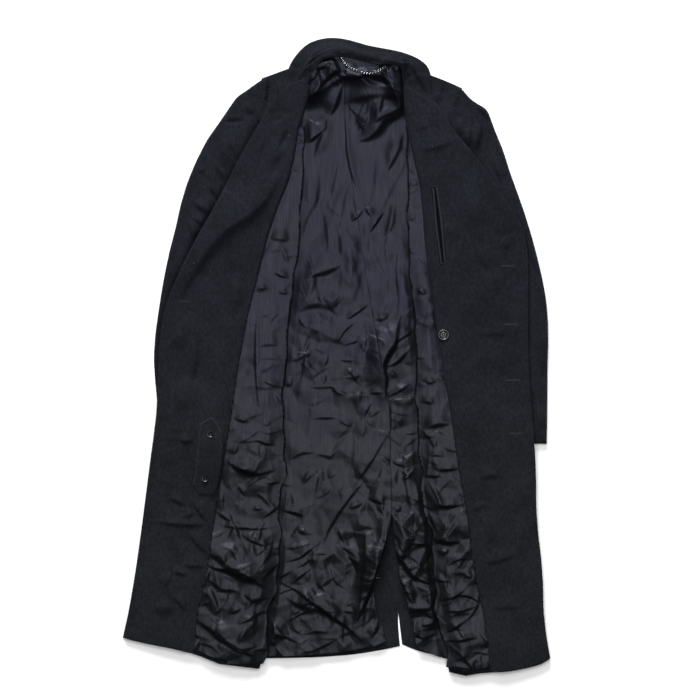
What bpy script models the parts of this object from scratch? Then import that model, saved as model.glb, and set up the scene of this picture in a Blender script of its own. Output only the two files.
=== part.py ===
"""Wool overcoat lying open on its back, both fronts turned out so that the lining shows.

The frame is in metres: +X to the right as seen from above, +Y towards the collar, +Z up from the floor.
Left and right are as seen from above. Named sizes and tables are in millimetres.
"""
import math

import bpy
import numpy as np

MM = 0.001

# Cloth and spacing
WOOL = 2.2
SATIN = 1.0
TAB_CLOTH = 3.0
JET_CLOTH = 1.6
SEAM_GAP = 0.3
LAY_GAP = 0.4

# Grid that keeps the height of what is already laid
FIELD_HALF_WIDTH = 440.0
FIELD_HALF_LENGTH = 640.0
CELL = 4.0
SAMPLE_STEP = 3.0
SOFTENING = 3
LAY_ROUNDS = 200
LAY_TOLERANCE = 0.02

# Mesh divisions
ROWS = 22
BACK_COLUMNS = 5
LINING_COLUMNS = 9
LOWER_COLUMNS = 4
UPPER_COLUMNS = 7
STRIP_COLUMNS = 3
FACING_COLUMNS = 7
SLEEVE_ROWS = 16
SLEEVE_COLUMNS = 6
NOSE_STEPS = 4
COLLAR_COLUMNS = 4
TAB_CELLS = 4
SMALL_CELLS = 2
SHARP_ANGLE = 40.0

# Folds of the turned fronts: how far the rounded edge stands out from the flat runs
FOLD_REACH = 5.0
WOOL_FOLD_REACH = 3.2
WOOL_FOLD_SETBACK = 2.0
TUCK_WIDTH = 60.0
LINING_UNDERLAP = 60.0
LINING_TOP = 432.0
HEM_TURN = 9.0

# Collar
COLLAR_REACH = 8.0
COLLAR_FALL = 0.8
COLLAR_ARCH = 13.0
COLLAR_SEAT = 0.6

# Small pieces
INSIDE_BUTTON_DIAMETER = 21.0
TAB_BUTTON_DIAMETER = 13.0
BUTTON_SIDES = 24
CHAIN_RADIUS = 2.0
CHAIN_POINTS = 25
CHAIN_TAB_WIDTH = 9.0
CHAIN_TAB_LENGTH = 12.0
JET_WIDTH = 4.4
JET_SLIT = 1.2
JET_ROWS = 6

# Turned fronts, one row for each section across the coat
SECTION_COLUMNS = ("y", "front_edge", "facing_line", "fold", "side_seam")
LEFT_SECTIONS = (
    (545, -86, -41, -41, -120),
    (520, -92, -49, -49, -141),
    (460, -130, -58, -58, -147),
    (430, -148, -70, -62, -153),
    (400, -166, -76, -62, -165),
    (350, -193, -81, -60, -200),
    (300, -217, -102, -65, -238),
    (200, -273, -135, -72, -250),
    (150, -297, -146, -78, -253),
    (100, -318, -160, -85, -256),
    (0, -332, -180, -94, -262),
    (-100, -336, -195, -99, -272),
    (-200, -349, -211, -97, -284),
    (-300, -362, -227, -105, -294),
    (-400, -376, -242, -110, -304),
    (-500, -394, -262, -127, -313),
    (-530, -401, -264, -131, -316),
    (-590, -402, -266, -142, -320),
)
RIGHT_SECTIONS = (
    (545, 168, 121, 121, 200),
    (500, 178, 126, 126, 235),
    (460, 192, 126, 126, 220),
    (440, 205, 129, 127, 213),
    (400, 238, 136, 129, 222),
    (350, 278, 148, 133, 264),
    (300, 310, 158, 133, 320),
    (250, 345, 161, 132, 334),
    (200, 355, 165, 132, 336),
    (100, 356, 180, 143, 338),
    (0, 357, 194, 147, 340),
    (-100, 363, 211, 150, 342),
    (-200, 371, 226, 153, 345),
    (-300, 373, 243, 171, 348),
    (-400, 384, 256, 180, 353),
    (-500, 388, 277, 192, 358),
    (-550, 397, 283, 200, 361),
    (-600, 403, 288, 208, 364),
)

# Centre back: seam of the wool halves, width of the open vent, edges of the two linings
CENTRE_COLUMNS = ("y", "seam", "slit", "lining_left", "lining_right")
CENTRE_SECTIONS = (
    (570, 23, 0.3, 23, 23),
    (430, 20, 0.3, 20, 20),
    (300, 38, 0.3, 38, 38),
    (200, 53, 0.3, 53, 53),
    (100, 69, 0.3, 69, 69),
    (0, 86, 0.3, 86, 86),
    (-80, 97, 0.3, 97, 97),
    (-200, 100, 0.3, 100, 100),
    (-300, 103, 0.3, 102, 103),
    (-345, 107, 0.3, 94, 108),
    (-400, 110, 0.3, 77, 117),
    (-440, 112, 0.5, 66, 124),
    (-480, 114, 2.5, 76, 138),
    (-520, 118, 4.0, 91, 147),
    (-570, 124, 5.0, 106, 153),
)

# Sleeves lying beside the body, from the shoulder tip to the cuff
SLEEVE_TABLE_COLUMNS = ("y", "outer", "inner")
LEFT_SLEEVE = (
    (525, -156, -138),
    (487, -187, -143),
    (460, -203, -147),
    (430, -228, -142),
    (400, -246, -130),
    (350, -270, -112),
    (300, -288, -112),
    (250, -299, -124),
    (200, -312, -138),
    (100, -331, -160),
    (0, -342, -174),
    (-80, -336, -180),
    (-165, -330, -184),
)
RIGHT_SLEEVE = (
    (510, 244, 238),
    (488, 258, 231),
    (464, 281, 222),
    (430, 293, 212),
    (400, 306, 204),
    (350, 322, 192),
    (300, 340, 186),
    (250, 357, 190),
    (200, 371, 198),
    (100, 392, 214),
    (50, 395, 220),
    (0, 394, 225),
    (-100, 393, 234),
    (-165, 392, 239),
)

# Upper and lower ends of each panel, as heights across the panel from its first side (0) to its second (1)
END_COLUMNS = ("across", "y")
LEFT_SHOULDER = ((0.0, 521), (0.5, 541), (0.75, 538), (1.0, 524))
RIGHT_SHOULDER = ((0.0, 503), (0.45, 528), (0.75, 530), (1.0, 517))
LEFT_GORGE = ((0.0, 524), (1.0, 506))
RIGHT_GORGE = ((0.0, 517), (0.4, 494), (1.0, 476))
LEFT_BACK_TOP = ((0.0, 521), (0.31, 542), (0.6, 547), (0.78, 560), (1.0, 563))
RIGHT_BACK_TOP = ((0.0, 563), (0.33, 547), (0.45, 550), (0.72, 530), (1.0, 503))
LEFT_LINING_TOP = ((0.0, 520), (0.35, 536), (0.6, 554), (0.8, 560), (1.0, 560))
RIGHT_LINING_TOP = ((0.0, 560), (0.3, 550), (0.5, 544), (0.65, 546), (1.0, 510))
LEFT_BACK_HEM = ((0.0, -524), (0.2, -550), (0.4, -563), (0.75, -561), (0.88, -548), (0.96, -548), (1.0, -541))
RIGHT_BACK_HEM = ((0.0, -538), (0.1, -536), (0.16, -556), (0.4, -556), (1.0, -560))
LEFT_LINING_HEM = ((0.0, -560), (0.3, -558), (0.7, -552), (0.9, -540), (1.0, -530))
RIGHT_LINING_HEM = ((0.0, -528), (0.15, -536), (0.5, -550), (1.0, -552))
LEFT_UNDER_HEM = ((0.0, -526), (0.5, -556), (1.0, -581))
RIGHT_UNDER_HEM = ((0.0, -562), (0.6, -575), (1.0, -588))
LEFT_FRONT_HEM = ((0.0, -581), (0.3, -572), (0.45, -556), (0.6, -545), (0.85, -533), (1.0, -524))
RIGHT_FRONT_HEM = ((0.0, -588), (0.1, -596), (0.25, -590), (0.6, -586), (0.9, -574), (1.0, -562))
LEFT_CUFF = ((0.0, -160), (1.0, -156))
RIGHT_CUFF = ((0.0, -162), (1.0, -156))
LEFT_SLEEVE_TOP = ((0.0, 487), (0.5, 508), (1.0, 521))
RIGHT_SLEEVE_TOP = ((0.0, 464), (0.5, 487), (1.0, 503))

# Collar, one row for each section round the neck from the left lapel to the right one
COLLAR_COLUMNS_NAMED = ("seam_x", "seam_y", "roll_x", "roll_y", "arch")
COLLAR_SECTIONS = (
    (-54, 511, -94, 500, 0.25),
    (-46, 529, -90, 541, 0.45),
    (-38, 541, -73, 568, 0.75),
    (-24, 554, -50, 588, 0.95),
    (-3, 559, -14, 597, 1.0),
    (20, 558, 22, 593, 1.0),
    (50, 551, 57, 583, 1.0),
    (80, 545, 88, 577, 1.0),
    (103, 545, 118, 571, 0.95),
    (117, 543, 146, 561, 0.8),
    (122, 532, 167, 547, 0.6),
    (124, 517, 176, 526, 0.4),
    (131, 494, 183, 469, 0.25),
)

# Largest folds: middle, heading of the ridge in degrees from +X, and its size
FOLD_COLUMNS = ("panel", "x", "y", "heading", "length", "width", "height")
FOLDS = (
    ("front_left", -150, 300, 55, 340, 60, 9),
    ("front_left", -285, 60, 80, 300, 60, 5),
    ("front_left", -250, -390, 70, 220, 70, 4),
    ("front_left", -330, -450, 84, 180, 60, 3),
    ("front_right", 245, 330, 125, 220, 70, 6),
    ("front_right", 300, 120, 92, 260, 80, 4),
    ("front_right", 300, -330, 80, 220, 90, 4),
    ("back_lining_left", -10, 440, 120, 120, 60, 6),
    ("back_lining_left", 40, -215, 58, 230, 60, 6),
    ("back_lining_left", -40, -420, 150, 190, 70, 6),
    ("back_lining_left", -30, 60, 160, 120, 60, 5),
    ("back_lining_left", 15, 280, 75, 200, 50, 4),
    ("back_lining_right", 80, 440, 40, 110, 60, 6),
    ("back_lining_right", 105, 40, 100, 200, 50, 7),
    ("back_lining_right", 135, -330, 96, 240, 50, 6),
    ("front_lining_left", -130, 0, 93, 420, 50, 4),
    ("front_lining_left", -180, -440, 70, 170, 60, 5),
    ("front_lining_right", 165, 60, 86, 300, 40, 3),
    ("front_lining_right", 215, -440, 80, 200, 50, 5),
    ("top_sleeve_left", -225, 330, 65, 200, 50, 5),
    ("top_sleeve_right", 300, 330, 115, 180, 40, 3),
)

# Throat tab on the left facing, one row for each section
TAB_COLUMNS = ("y", "left", "right", "lift")
TAB_SECTIONS = (
    (-112, -238, -229, 0.5),
    (-123, -254, -222, 1.0),
    (-138, -256, -215, 1.5),
    (-170, -258, -212, 2.5),
    (-209, -263, -216, 2.5),
    (-236, -268, -222, 1.5),
    (-247, -262, -225, 1.0),
    (-256, -257, -231, 0.5),
)

# Pocket mouth, buttons and chain
POCKET_TOP = (183.0, 316.0)
POCKET_FOOT = (198.0, 177.0)
INSIDE_BUTTON_AT = (199.0, 42.0)
VENT_BUTTON_AT = (77.0, -407.0)
TAB_BUTTONS = (("tab_button_upper", -235.0, -143.0), ("tab_button_lower", -245.0, -226.0))
CHAIN_ROUTE_COLUMNS = ("x", "y")
CHAIN_ROUTE = ((7, 548), (13, 541), (24, 533), (39, 527), (52, 523), (66, 524), (78, 528), (88, 534))
CHAIN_TABS = (("chain_tab_left", 8.0, 546.0, -60.0), ("chain_tab_right", 86.0, 531.0, 40.0))

# Button profile: radius and height as shares of the button's radius and thickness
BUTTON_THICKNESS = 4.0
BUTTON_COLUMNS = ("radius", "height")
BUTTON_PROFILE = (
    (0.0, 0.0),
    (0.8, 0.0),
    (0.97, 0.3),
    (1.0, 0.7),
    (0.9, 1.0),
    (0.74, 0.9),
    (0.62, 0.62),
    (0.0, 0.55),
)


def column(table, columns, name):
    """One named column of a table as numbers."""
    place = columns.index(name)
    return np.array([row[place] for row in table], float)


def smooth(places, values):
    """Smooth function through values given at rising or falling places."""
    order = np.argsort(places)
    knots = np.asarray(places, float)[order]
    heights = np.asarray(values, float)[order]
    slopes = np.gradient(heights, knots)

    def at(place):
        place = np.clip(np.asarray(place, float), knots[0], knots[-1])
        span = np.clip(np.searchsorted(knots, place, side="right") - 1, 0, len(knots) - 2)
        width = knots[span + 1] - knots[span]
        t = (place - knots[span]) / width
        rise = heights[span] * (2 * t ** 3 - 3 * t ** 2 + 1) + heights[span + 1] * (3 * t ** 2 - 2 * t ** 3)
        bend = slopes[span] * (t ** 3 - 2 * t ** 2 + t) + slopes[span + 1] * (t ** 3 - t ** 2)
        return rise + bend * width

    return at


def line(table, columns, name, along="y"):
    """Edge of a panel as a smooth function of the height along the coat."""
    return smooth(column(table, columns, along), column(table, columns, name))


def end(table):
    """Upper or lower end of a panel, straight between its given points."""
    across = column(table, END_COLUMNS, "across")
    heights = column(table, END_COLUMNS, "y")
    return lambda u: np.interp(u, across, heights)


def level(height):
    """Straight end of a panel at one height."""
    return lambda u: np.full_like(u, height)


def plan(first, second, top, hem, rows, columns):
    """Points of a flat panel between two edges, an upper end and a hem."""
    u = np.linspace(0.0, 1.0, columns + 1)[None, :]
    v = np.linspace(0.0, 1.0, rows + 1)[:, None]
    y = top(u) * (1.0 - v) + hem(u) * v
    x = first(y) * (1.0 - u) + second(y) * u
    return x, y


def ridges(panel, x, y):
    """Height of a panel's own folds at the given points."""
    total = np.zeros_like(x)
    for row in FOLDS:
        fold = dict(zip(FOLD_COLUMNS, row))
        if fold["panel"] != panel:
            continue
        turn = math.radians(fold["heading"])
        from_x = x - fold["x"]
        from_y = y - fold["y"]
        along = from_x * math.cos(turn) + from_y * math.sin(turn)
        across = from_y * math.cos(turn) - from_x * math.sin(turn)
        lengthways = np.cos(np.clip(along / fold["length"], -0.5, 0.5) * math.pi) ** 2
        sideways = np.cos(np.clip(across / fold["width"], -0.5, 0.5) * math.pi) ** 2
        total += fold["height"] * lengthways * sideways
    return total


def cell_triangles(rows, columns):
    """Corner numbers of the two triangles in each cell of a grid of points."""
    first = (np.arange(rows - 1)[:, None] * columns + np.arange(columns - 1)[None, :]).ravel()
    below = first + columns
    return np.concatenate([
        np.stack([first, first + 1, below + 1], axis=1),
        np.stack([first, below + 1, below], axis=1),
    ])


def lattice(steps):
    """Evenly spread weights of a triangle's three corners."""
    return np.array([
        (i / steps, j / steps, (steps - i - j) / steps)
        for i in range(steps + 1)
        for j in range(steps + 1 - i)
    ])


class Pile:
    """Height of everything laid so far, on a grid over the floor."""

    def __init__(self):
        rows = int(2 * FIELD_HALF_LENGTH / CELL) + 1
        columns = int(2 * FIELD_HALF_WIDTH / CELL) + 1
        self.height = np.zeros((rows, columns))

    def cells(self, x, y):
        row = np.rint((y + FIELD_HALF_LENGTH) / CELL).astype(int)
        col = np.rint((x + FIELD_HALF_WIDTH) / CELL).astype(int)
        return row, col

    def cover(self, points):
        """Raise the pile to a grid of points on a sheet's upper side."""
        flat = points.reshape(-1, 3)
        corners = flat[cell_triangles(points.shape[0], points.shape[1])]
        reach = np.ptp(corners[:, :, :2], axis=1).max()
        weights = lattice(int(math.ceil(reach / SAMPLE_STEP)))
        samples = np.einsum("sk,tkd->tsd", weights, corners).reshape(-1, 3)
        np.maximum.at(self.height, self.cells(samples[:, 0], samples[:, 1]), samples[:, 2])

    def support(self):
        """Lowest underside over each grid point, one cell wider than what lies there."""
        high = self.height.copy()
        for axis in (0, 1):
            for step in (-1, 1):
                high = np.maximum(high, np.roll(high, step, axis=axis))
        return np.where(high > 0.0, high + LAY_GAP, 0.0)

    def lay(self, x, y, softening=SOFTENING):
        """Underside heights of a sheet laid on the pile, clear of it between its points too."""
        support = self.support()
        triangles = cell_triangles(x.shape[0], x.shape[1])
        place = np.stack([x.ravel(), y.ravel()], axis=1)
        corners = place[triangles]
        weights = lattice(int(math.ceil(np.ptp(corners, axis=1).max() / SAMPLE_STEP)))
        samples = np.einsum("sk,tkd->tsd", weights, corners)
        needed = support[self.cells(samples[..., 0], samples[..., 1])]
        z = support[self.cells(place[:, 0], place[:, 1])].copy()
        spread = weights / (weights ** 2).sum(axis=1, keepdims=True)
        numbers = np.arange(len(triangles))
        for _ in range(LAY_ROUNDS):
            short = needed - z[triangles] @ weights.T
            worst = short.argmax(axis=1)
            lift = np.maximum(short[numbers, worst], 0.0)
            if lift.max() < LAY_TOLERANCE:
                break
            raised = z[triangles] + spread[worst] * lift[:, None]
            np.maximum.at(z, triangles.ravel(), raised.ravel())
        z = z.reshape(x.shape)
        for _ in range(softening):
            padded = np.pad(z, 1, mode="edge")
            around = (padded[:-2, 1:-1] + padded[2:, 1:-1] + padded[1:-1, :-2] + padded[1:-1, 2:]) / 4.0
            z = np.maximum(z, around)
        return z


def make_material(name, colour, roughness, metallic=0.0):
    material = bpy.data.materials.new(name)
    material.use_nodes = True
    shader = material.node_tree.nodes["Principled BSDF"]
    shader.inputs["Base Color"].default_value = (*colour, 1.0)
    shader.inputs["Roughness"].default_value = roughness
    shader.inputs["Metallic"].default_value = metallic
    return material


def add_object(name, vertices, faces, material):
    """Closed mesh object from millimetre points, faces turned outward."""
    mesh = bpy.data.meshes.new(name)
    mesh.from_pydata([tuple(point * MM) for point in vertices], [], faces)
    if signed_volume(mesh) < 0.0:
        mesh.flip_normals()
    mesh.shade_smooth()
    mesh.set_sharp_from_angle(angle=math.radians(SHARP_ANGLE))
    mesh.materials.append(material)
    item = bpy.data.objects.new(name, mesh)
    bpy.context.scene.collection.objects.link(item)
    return item


def signed_volume(mesh):
    mesh.calc_loop_triangles()
    total = 0.0
    for triangle in mesh.loop_triangles:
        a, b, c = (mesh.vertices[number].co for number in triangle.vertices)
        total += a.dot(b.cross(c)) / 6.0
    return total


def add_sheet(name, outer, inner, material):
    """Cloth wall between two grids of points that face each other."""
    rows, columns = outer.shape[:2]
    count = rows * columns
    numbers = np.arange(count).reshape(rows, columns)
    triangles = cell_triangles(rows, columns)
    faces = [tuple(int(k) for k in corner) for corner in triangles]
    faces += [tuple(int(k) + count for k in corner[::-1]) for corner in triangles]
    rim = np.concatenate([numbers[0, :-1], numbers[:-1, -1], numbers[-1, :0:-1], numbers[:0:-1, 0]])
    for here, after in zip(rim, np.roll(rim, -1)):
        faces.append((int(after), int(here), int(here) + count))
        faces.append((int(after), int(here) + count, int(after) + count))
    points = np.concatenate([outer.reshape(-1, 3), inner.reshape(-1, 3)])
    return add_object(name, points, faces, material)


def stack(x, y, z):
    return np.stack([x, y, z], axis=-1)


def lay_panel(pile, name, x, y, thickness, material, softer=0.0):
    """Flat panel on the pile; the pile is raised by the caller once its group is laid."""
    z = pile.lay(x, y) + ridges(name, x, y) + softer
    outer = stack(x, y, z + thickness)
    add_sheet(name, outer, stack(x, y, z), material)
    return outer


def folded_sheet(lower, upper, thickness, direction, reach):
    """Facing grids of a sheet that runs in to a rounded fold and back out above itself."""
    centre_outer = (lower[:, -1, 2] + upper[:, 0, 2] + thickness) / 2.0
    rise_outer = centre_outer - lower[:, -1, 2]
    centre_inner = (lower[:, -1, 2] + thickness + upper[:, 0, 2]) / 2.0
    rise_inner = upper[:, 0, 2] - centre_inner
    middle = (lower[:, -1, :2] + upper[:, 0, :2]) / 2.0
    outer_nose = []
    inner_nose = []
    for step in range(1, NOSE_STEPS):
        angle = math.pi * step / NOSE_STEPS
        outer_xy = middle + direction * reach * math.sin(angle)
        inner_xy = middle + direction * max(reach - thickness, 0.4) * math.sin(angle)
        outer_nose.append(np.column_stack([outer_xy, centre_outer - rise_outer * math.cos(angle)]))
        inner_nose.append(np.column_stack([inner_xy, centre_inner - rise_inner * math.cos(angle)]))
    rise = np.array([0.0, 0.0, thickness])
    outer = np.concatenate([lower, np.stack(outer_nose, axis=1), upper + rise], axis=1)
    inner = np.concatenate([lower + rise, np.stack(inner_nose, axis=1), upper], axis=1)
    return outer, inner


def moved(edge, distance):
    """Edge of a panel, moved along X."""
    return lambda y: edge(y) + distance


def add_backs(pile, wool):
    seam = line(CENTRE_SECTIONS, CENTRE_COLUMNS, "seam")
    slit = line(CENTRE_SECTIONS, CENTRE_COLUMNS, "slit")
    left_side = moved(line(LEFT_SECTIONS, SECTION_COLUMNS, "side_seam"), SEAM_GAP)
    right_side = moved(line(RIGHT_SECTIONS, SECTION_COLUMNS, "side_seam"), -SEAM_GAP)

    def left_vent(y):
        return seam(y) - slit(y) / 2.0

    def right_vent(y):
        return seam(y) + slit(y) / 2.0

    left = plan(left_side, left_vent, end(LEFT_BACK_TOP), end(LEFT_BACK_HEM), ROWS, BACK_COLUMNS)
    right = plan(right_vent, right_side, end(RIGHT_BACK_TOP), end(RIGHT_BACK_HEM), ROWS, BACK_COLUMNS)
    laid = [
        lay_panel(pile, "back_left", *left, WOOL, wool),
        lay_panel(pile, "back_right", *right, WOOL, wool),
    ]
    for points in laid:
        pile.cover(points)


def add_back_linings(pile, satin):
    left_inner = moved(line(CENTRE_SECTIONS, CENTRE_COLUMNS, "lining_left"), -SEAM_GAP / 2.0)
    right_inner = moved(line(CENTRE_SECTIONS, CENTRE_COLUMNS, "lining_right"), SEAM_GAP / 2.0)
    left_outer = moved(line(LEFT_SECTIONS, SECTION_COLUMNS, "fold"), -LINING_UNDERLAP)
    right_outer = moved(line(RIGHT_SECTIONS, SECTION_COLUMNS, "fold"), LINING_UNDERLAP)
    left = plan(left_outer, left_inner, end(LEFT_LINING_TOP), end(LEFT_LINING_HEM), ROWS, LINING_COLUMNS)
    right = plan(right_inner, right_outer, end(RIGHT_LINING_TOP), end(RIGHT_LINING_HEM), ROWS, LINING_COLUMNS)
    pile.cover(lay_panel(pile, "back_lining_left", *left, SATIN, satin))
    pile.cover(lay_panel(pile, "back_lining_right", *right, SATIN, satin))


class Front:
    """One turned front: wool, the lining round its fold, and the facing on top."""

    def __init__(self, side, sections, shoulder, gorge, under_hem, hem):
        self.name = "left" if side < 0 else "right"
        self.side = side
        self.edge = line(sections, SECTION_COLUMNS, "front_edge")
        self.facing = line(sections, SECTION_COLUMNS, "facing_line")
        self.fold = moved(line(sections, SECTION_COLUMNS, "fold"), side * FOLD_REACH)
        self.wool_fold = moved(self.fold, side * WOOL_FOLD_SETBACK)
        self.seam = line(sections, SECTION_COLUMNS, "side_seam")
        self.shoulder = end(shoulder)
        self.gorge = end(gorge)
        self.under_hem = end(under_hem)
        self.hem = end(hem)

    def lay_under(self, pile):
        """Runs that lie on the back, up to the fold: lining first, then wool."""
        tuck = moved(self.fold, self.side * TUCK_WIDTH)
        foot = level(self.hem(0.0) + HEM_TURN)
        x, y = plan(tuck, self.fold, level(LINING_TOP), foot, ROWS, STRIP_COLUMNS)
        self.lining_lower = stack(x, y, pile.lay(x, y))
        pile.cover(self.lining_lower + (0.0, 0.0, SATIN))
        x, y = plan(self.seam, self.wool_fold, self.shoulder, self.under_hem, ROWS, LOWER_COLUMNS)
        self.wool_lower = stack(x, y, pile.lay(x, y))
        pile.cover(self.wool_lower + (0.0, 0.0, WOOL))

    def lay_over(self, pile, wool, satin):
        """Runs that come back out over the sleeve: wool, lining strip, then the facing."""
        inward = np.tile((-self.side, 0.0), (ROWS + 1, 1)).astype(float)
        x, y = plan(self.wool_fold, self.edge, self.gorge, self.hem, ROWS, UPPER_COLUMNS)
        z = pile.lay(x, y) + ridges("front_" + self.name, x, y)
        outer, inner = folded_sheet(self.wool_lower, stack(x, y, z), WOOL, inward, WOOL_FOLD_REACH)
        add_sheet("front_" + self.name, outer, inner, wool)
        pile.cover(outer)

        share = self.strip_share()

        def strip_hem(u):
            return self.hem(u * share) + HEM_TURN

        def facing_hem(u):
            return self.hem(share + (1.0 - share) * u)

        x, y = plan(self.fold, self.facing, level(LINING_TOP), strip_hem, ROWS, STRIP_COLUMNS)
        z = pile.lay(x, y) + ridges("front_lining_" + self.name, x, y)
        outer, inner = folded_sheet(self.lining_lower, stack(x, y, z), SATIN, inward, FOLD_REACH)
        add_sheet("front_lining_" + self.name, outer, inner, satin)
        pile.cover(outer)

        x, y = plan(self.facing, self.edge, self.gorge, facing_hem, ROWS, FACING_COLUMNS)
        pile.cover(lay_panel(pile, "facing_" + self.name, x, y, WOOL, wool))

    def strip_share(self):
        """Share of the front's hem that the lining strip takes."""
        foot = float(self.hem(0.0))
        strip = self.facing(foot) - self.fold(foot)
        return float(strip / (self.edge(foot) - self.fold(foot)))


def add_sleeve(pile, name, table, top, cuff, wool):
    outer = line(table, SLEEVE_TABLE_COLUMNS, "outer")
    inner = line(table, SLEEVE_TABLE_COLUMNS, "inner")
    x, y = plan(outer, inner, end(top), end(cuff), SLEEVE_ROWS, SLEEVE_COLUMNS)
    pile.cover(lay_panel(pile, "under_sleeve_" + name, x, y, WOOL, wool))
    pile.cover(lay_panel(pile, "top_sleeve_" + name, x, y, WOOL, wool))


def add_collar(pile, wool):
    """Band round the neck: the fall lies under, the stand comes back in over a soft roll."""
    count = len(COLLAR_SECTIONS)
    stations = np.linspace(0, count - 1, 2 * count - 1)
    part = {
        name: smooth(np.arange(count), column(COLLAR_SECTIONS, COLLAR_COLUMNS_NAMED, name))(stations)
        for name in COLLAR_COLUMNS_NAMED
    }
    seam = np.column_stack([part["seam_x"], part["seam_y"]])
    roll = np.column_stack([part["roll_x"], part["roll_y"]])
    direction = (roll - seam) / np.linalg.norm(roll - seam, axis=1, keepdims=True)
    roll = roll - direction * COLLAR_REACH
    share = np.linspace(0.0, 1.0, COLLAR_COLUMNS + 1)[None, :, None]
    fall_start = roll + (seam - roll) * COLLAR_FALL
    fall = fall_start[:, None, :] * (1.0 - share) + roll[:, None, :] * share
    stand = roll[:, None, :] * (1.0 - share) + seam[:, None, :] * share
    resting = np.maximum(pile.lay(fall[..., 0], fall[..., 1]) - COLLAR_SEAT, 0.0)
    lower = np.dstack([fall, resting])
    pile.cover(lower + (0.0, 0.0, WOOL))
    arch = COLLAR_ARCH * part["arch"][:, None] * np.cos(share[..., 0] * math.pi / 2.0)
    upper = np.dstack([stand, pile.lay(stand[..., 0], stand[..., 1], softening=0) + arch])
    outer, inner = folded_sheet(lower, upper, WOOL, direction, COLLAR_REACH)
    add_sheet("collar", outer, inner, wool)
    pile.cover(outer)


def add_pocket_jets(pile, wool):
    """Two narrow welts along the pocket mouth, made on the facing's surface."""
    top = np.array(POCKET_TOP)
    foot = np.array(POCKET_FOOT)
    along = (foot - top) / np.linalg.norm(foot - top)
    across = np.array([-along[1], along[0]])
    laid = []
    for name, side in (("pocket_jet_inner", -1.0), ("pocket_jet_outer", 1.0)):
        near = side * JET_SLIT / 2.0
        far = side * (JET_SLIT / 2.0 + JET_WIDTH)
        rows = np.linspace(0.0, 1.0, JET_ROWS + 1)[:, None, None]
        offsets = np.linspace(near, far, SMALL_CELLS + 1)[None, :, None]
        points = top + (foot - top) * rows + across * offsets
        laid.append(lay_panel(pile, name, points[..., 0], points[..., 1], JET_CLOTH, wool))
    for points in laid:
        pile.cover(points)


def add_throat_tab(pile, wool):
    """Buttoned-on tab; its right edge stands off the facing."""
    ys = column(TAB_SECTIONS, TAB_COLUMNS, "y")[:, None]
    left = column(TAB_SECTIONS, TAB_COLUMNS, "left")[:, None]
    right = column(TAB_SECTIONS, TAB_COLUMNS, "right")[:, None]
    lift = column(TAB_SECTIONS, TAB_COLUMNS, "lift")[:, None]
    u = np.linspace(0.0, 1.0, TAB_CELLS + 1)[None, :]
    x = left * (1.0 - u) + right * u
    y = ys + 0.0 * u
    pile.cover(lay_panel(pile, "throat_tab", x, y, TAB_CLOTH, wool, softer=lift * u ** 2))


def add_button(pile, name, centre, diameter, plastic):
    """Turned button with a raised rim, seated just above the cloth under it."""
    radius = diameter / 2.0
    angles = np.linspace(0.0, 2.0 * math.pi, BUTTON_SIDES, endpoint=False)
    ring_x = centre[0] + radius * np.cos(angles)
    ring_y = centre[1] + radius * np.sin(angles)
    base = pile.height[pile.cells(ring_x, ring_y)].max() + LAY_GAP
    reaches = radius * column(BUTTON_PROFILE, BUTTON_COLUMNS, "radius")
    heights = base + BUTTON_THICKNESS * column(BUTTON_PROFILE, BUTTON_COLUMNS, "height")
    points = [np.array([centre[0], centre[1], heights[0]])]
    rings = BUTTON_PROFILE[1:-1]
    for reach, height in zip(reaches[1:-1], heights[1:-1]):
        for angle in angles:
            place = (centre[0] + reach * math.cos(angle), centre[1] + reach * math.sin(angle))
            points.append(np.array([*place, height]))
    points.append(np.array([centre[0], centre[1], heights[-1]]))
    last = len(points) - 1
    faces = []
    for side in range(BUTTON_SIDES):
        after = (side + 1) % BUTTON_SIDES
        faces.append((0, 1 + after, 1 + side))
        for ring in range(len(rings) - 1):
            low = 1 + ring * BUTTON_SIDES
            high = low + BUTTON_SIDES
            faces.append((low + side, low + after, high + after, high + side))
        top = 1 + (len(rings) - 1) * BUTTON_SIDES
        faces.append((top + side, top + after, last))
    add_object(name, points, faces, plastic)
    around = np.append(angles, angles[0])
    reach = np.array([[0.0], [radius]])
    cap_x = centre[0] + reach * np.cos(around)
    cap_y = centre[1] + reach * np.sin(around)
    pile.cover(stack(cap_x, cap_y, np.full_like(cap_x, heights.max())))


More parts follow.
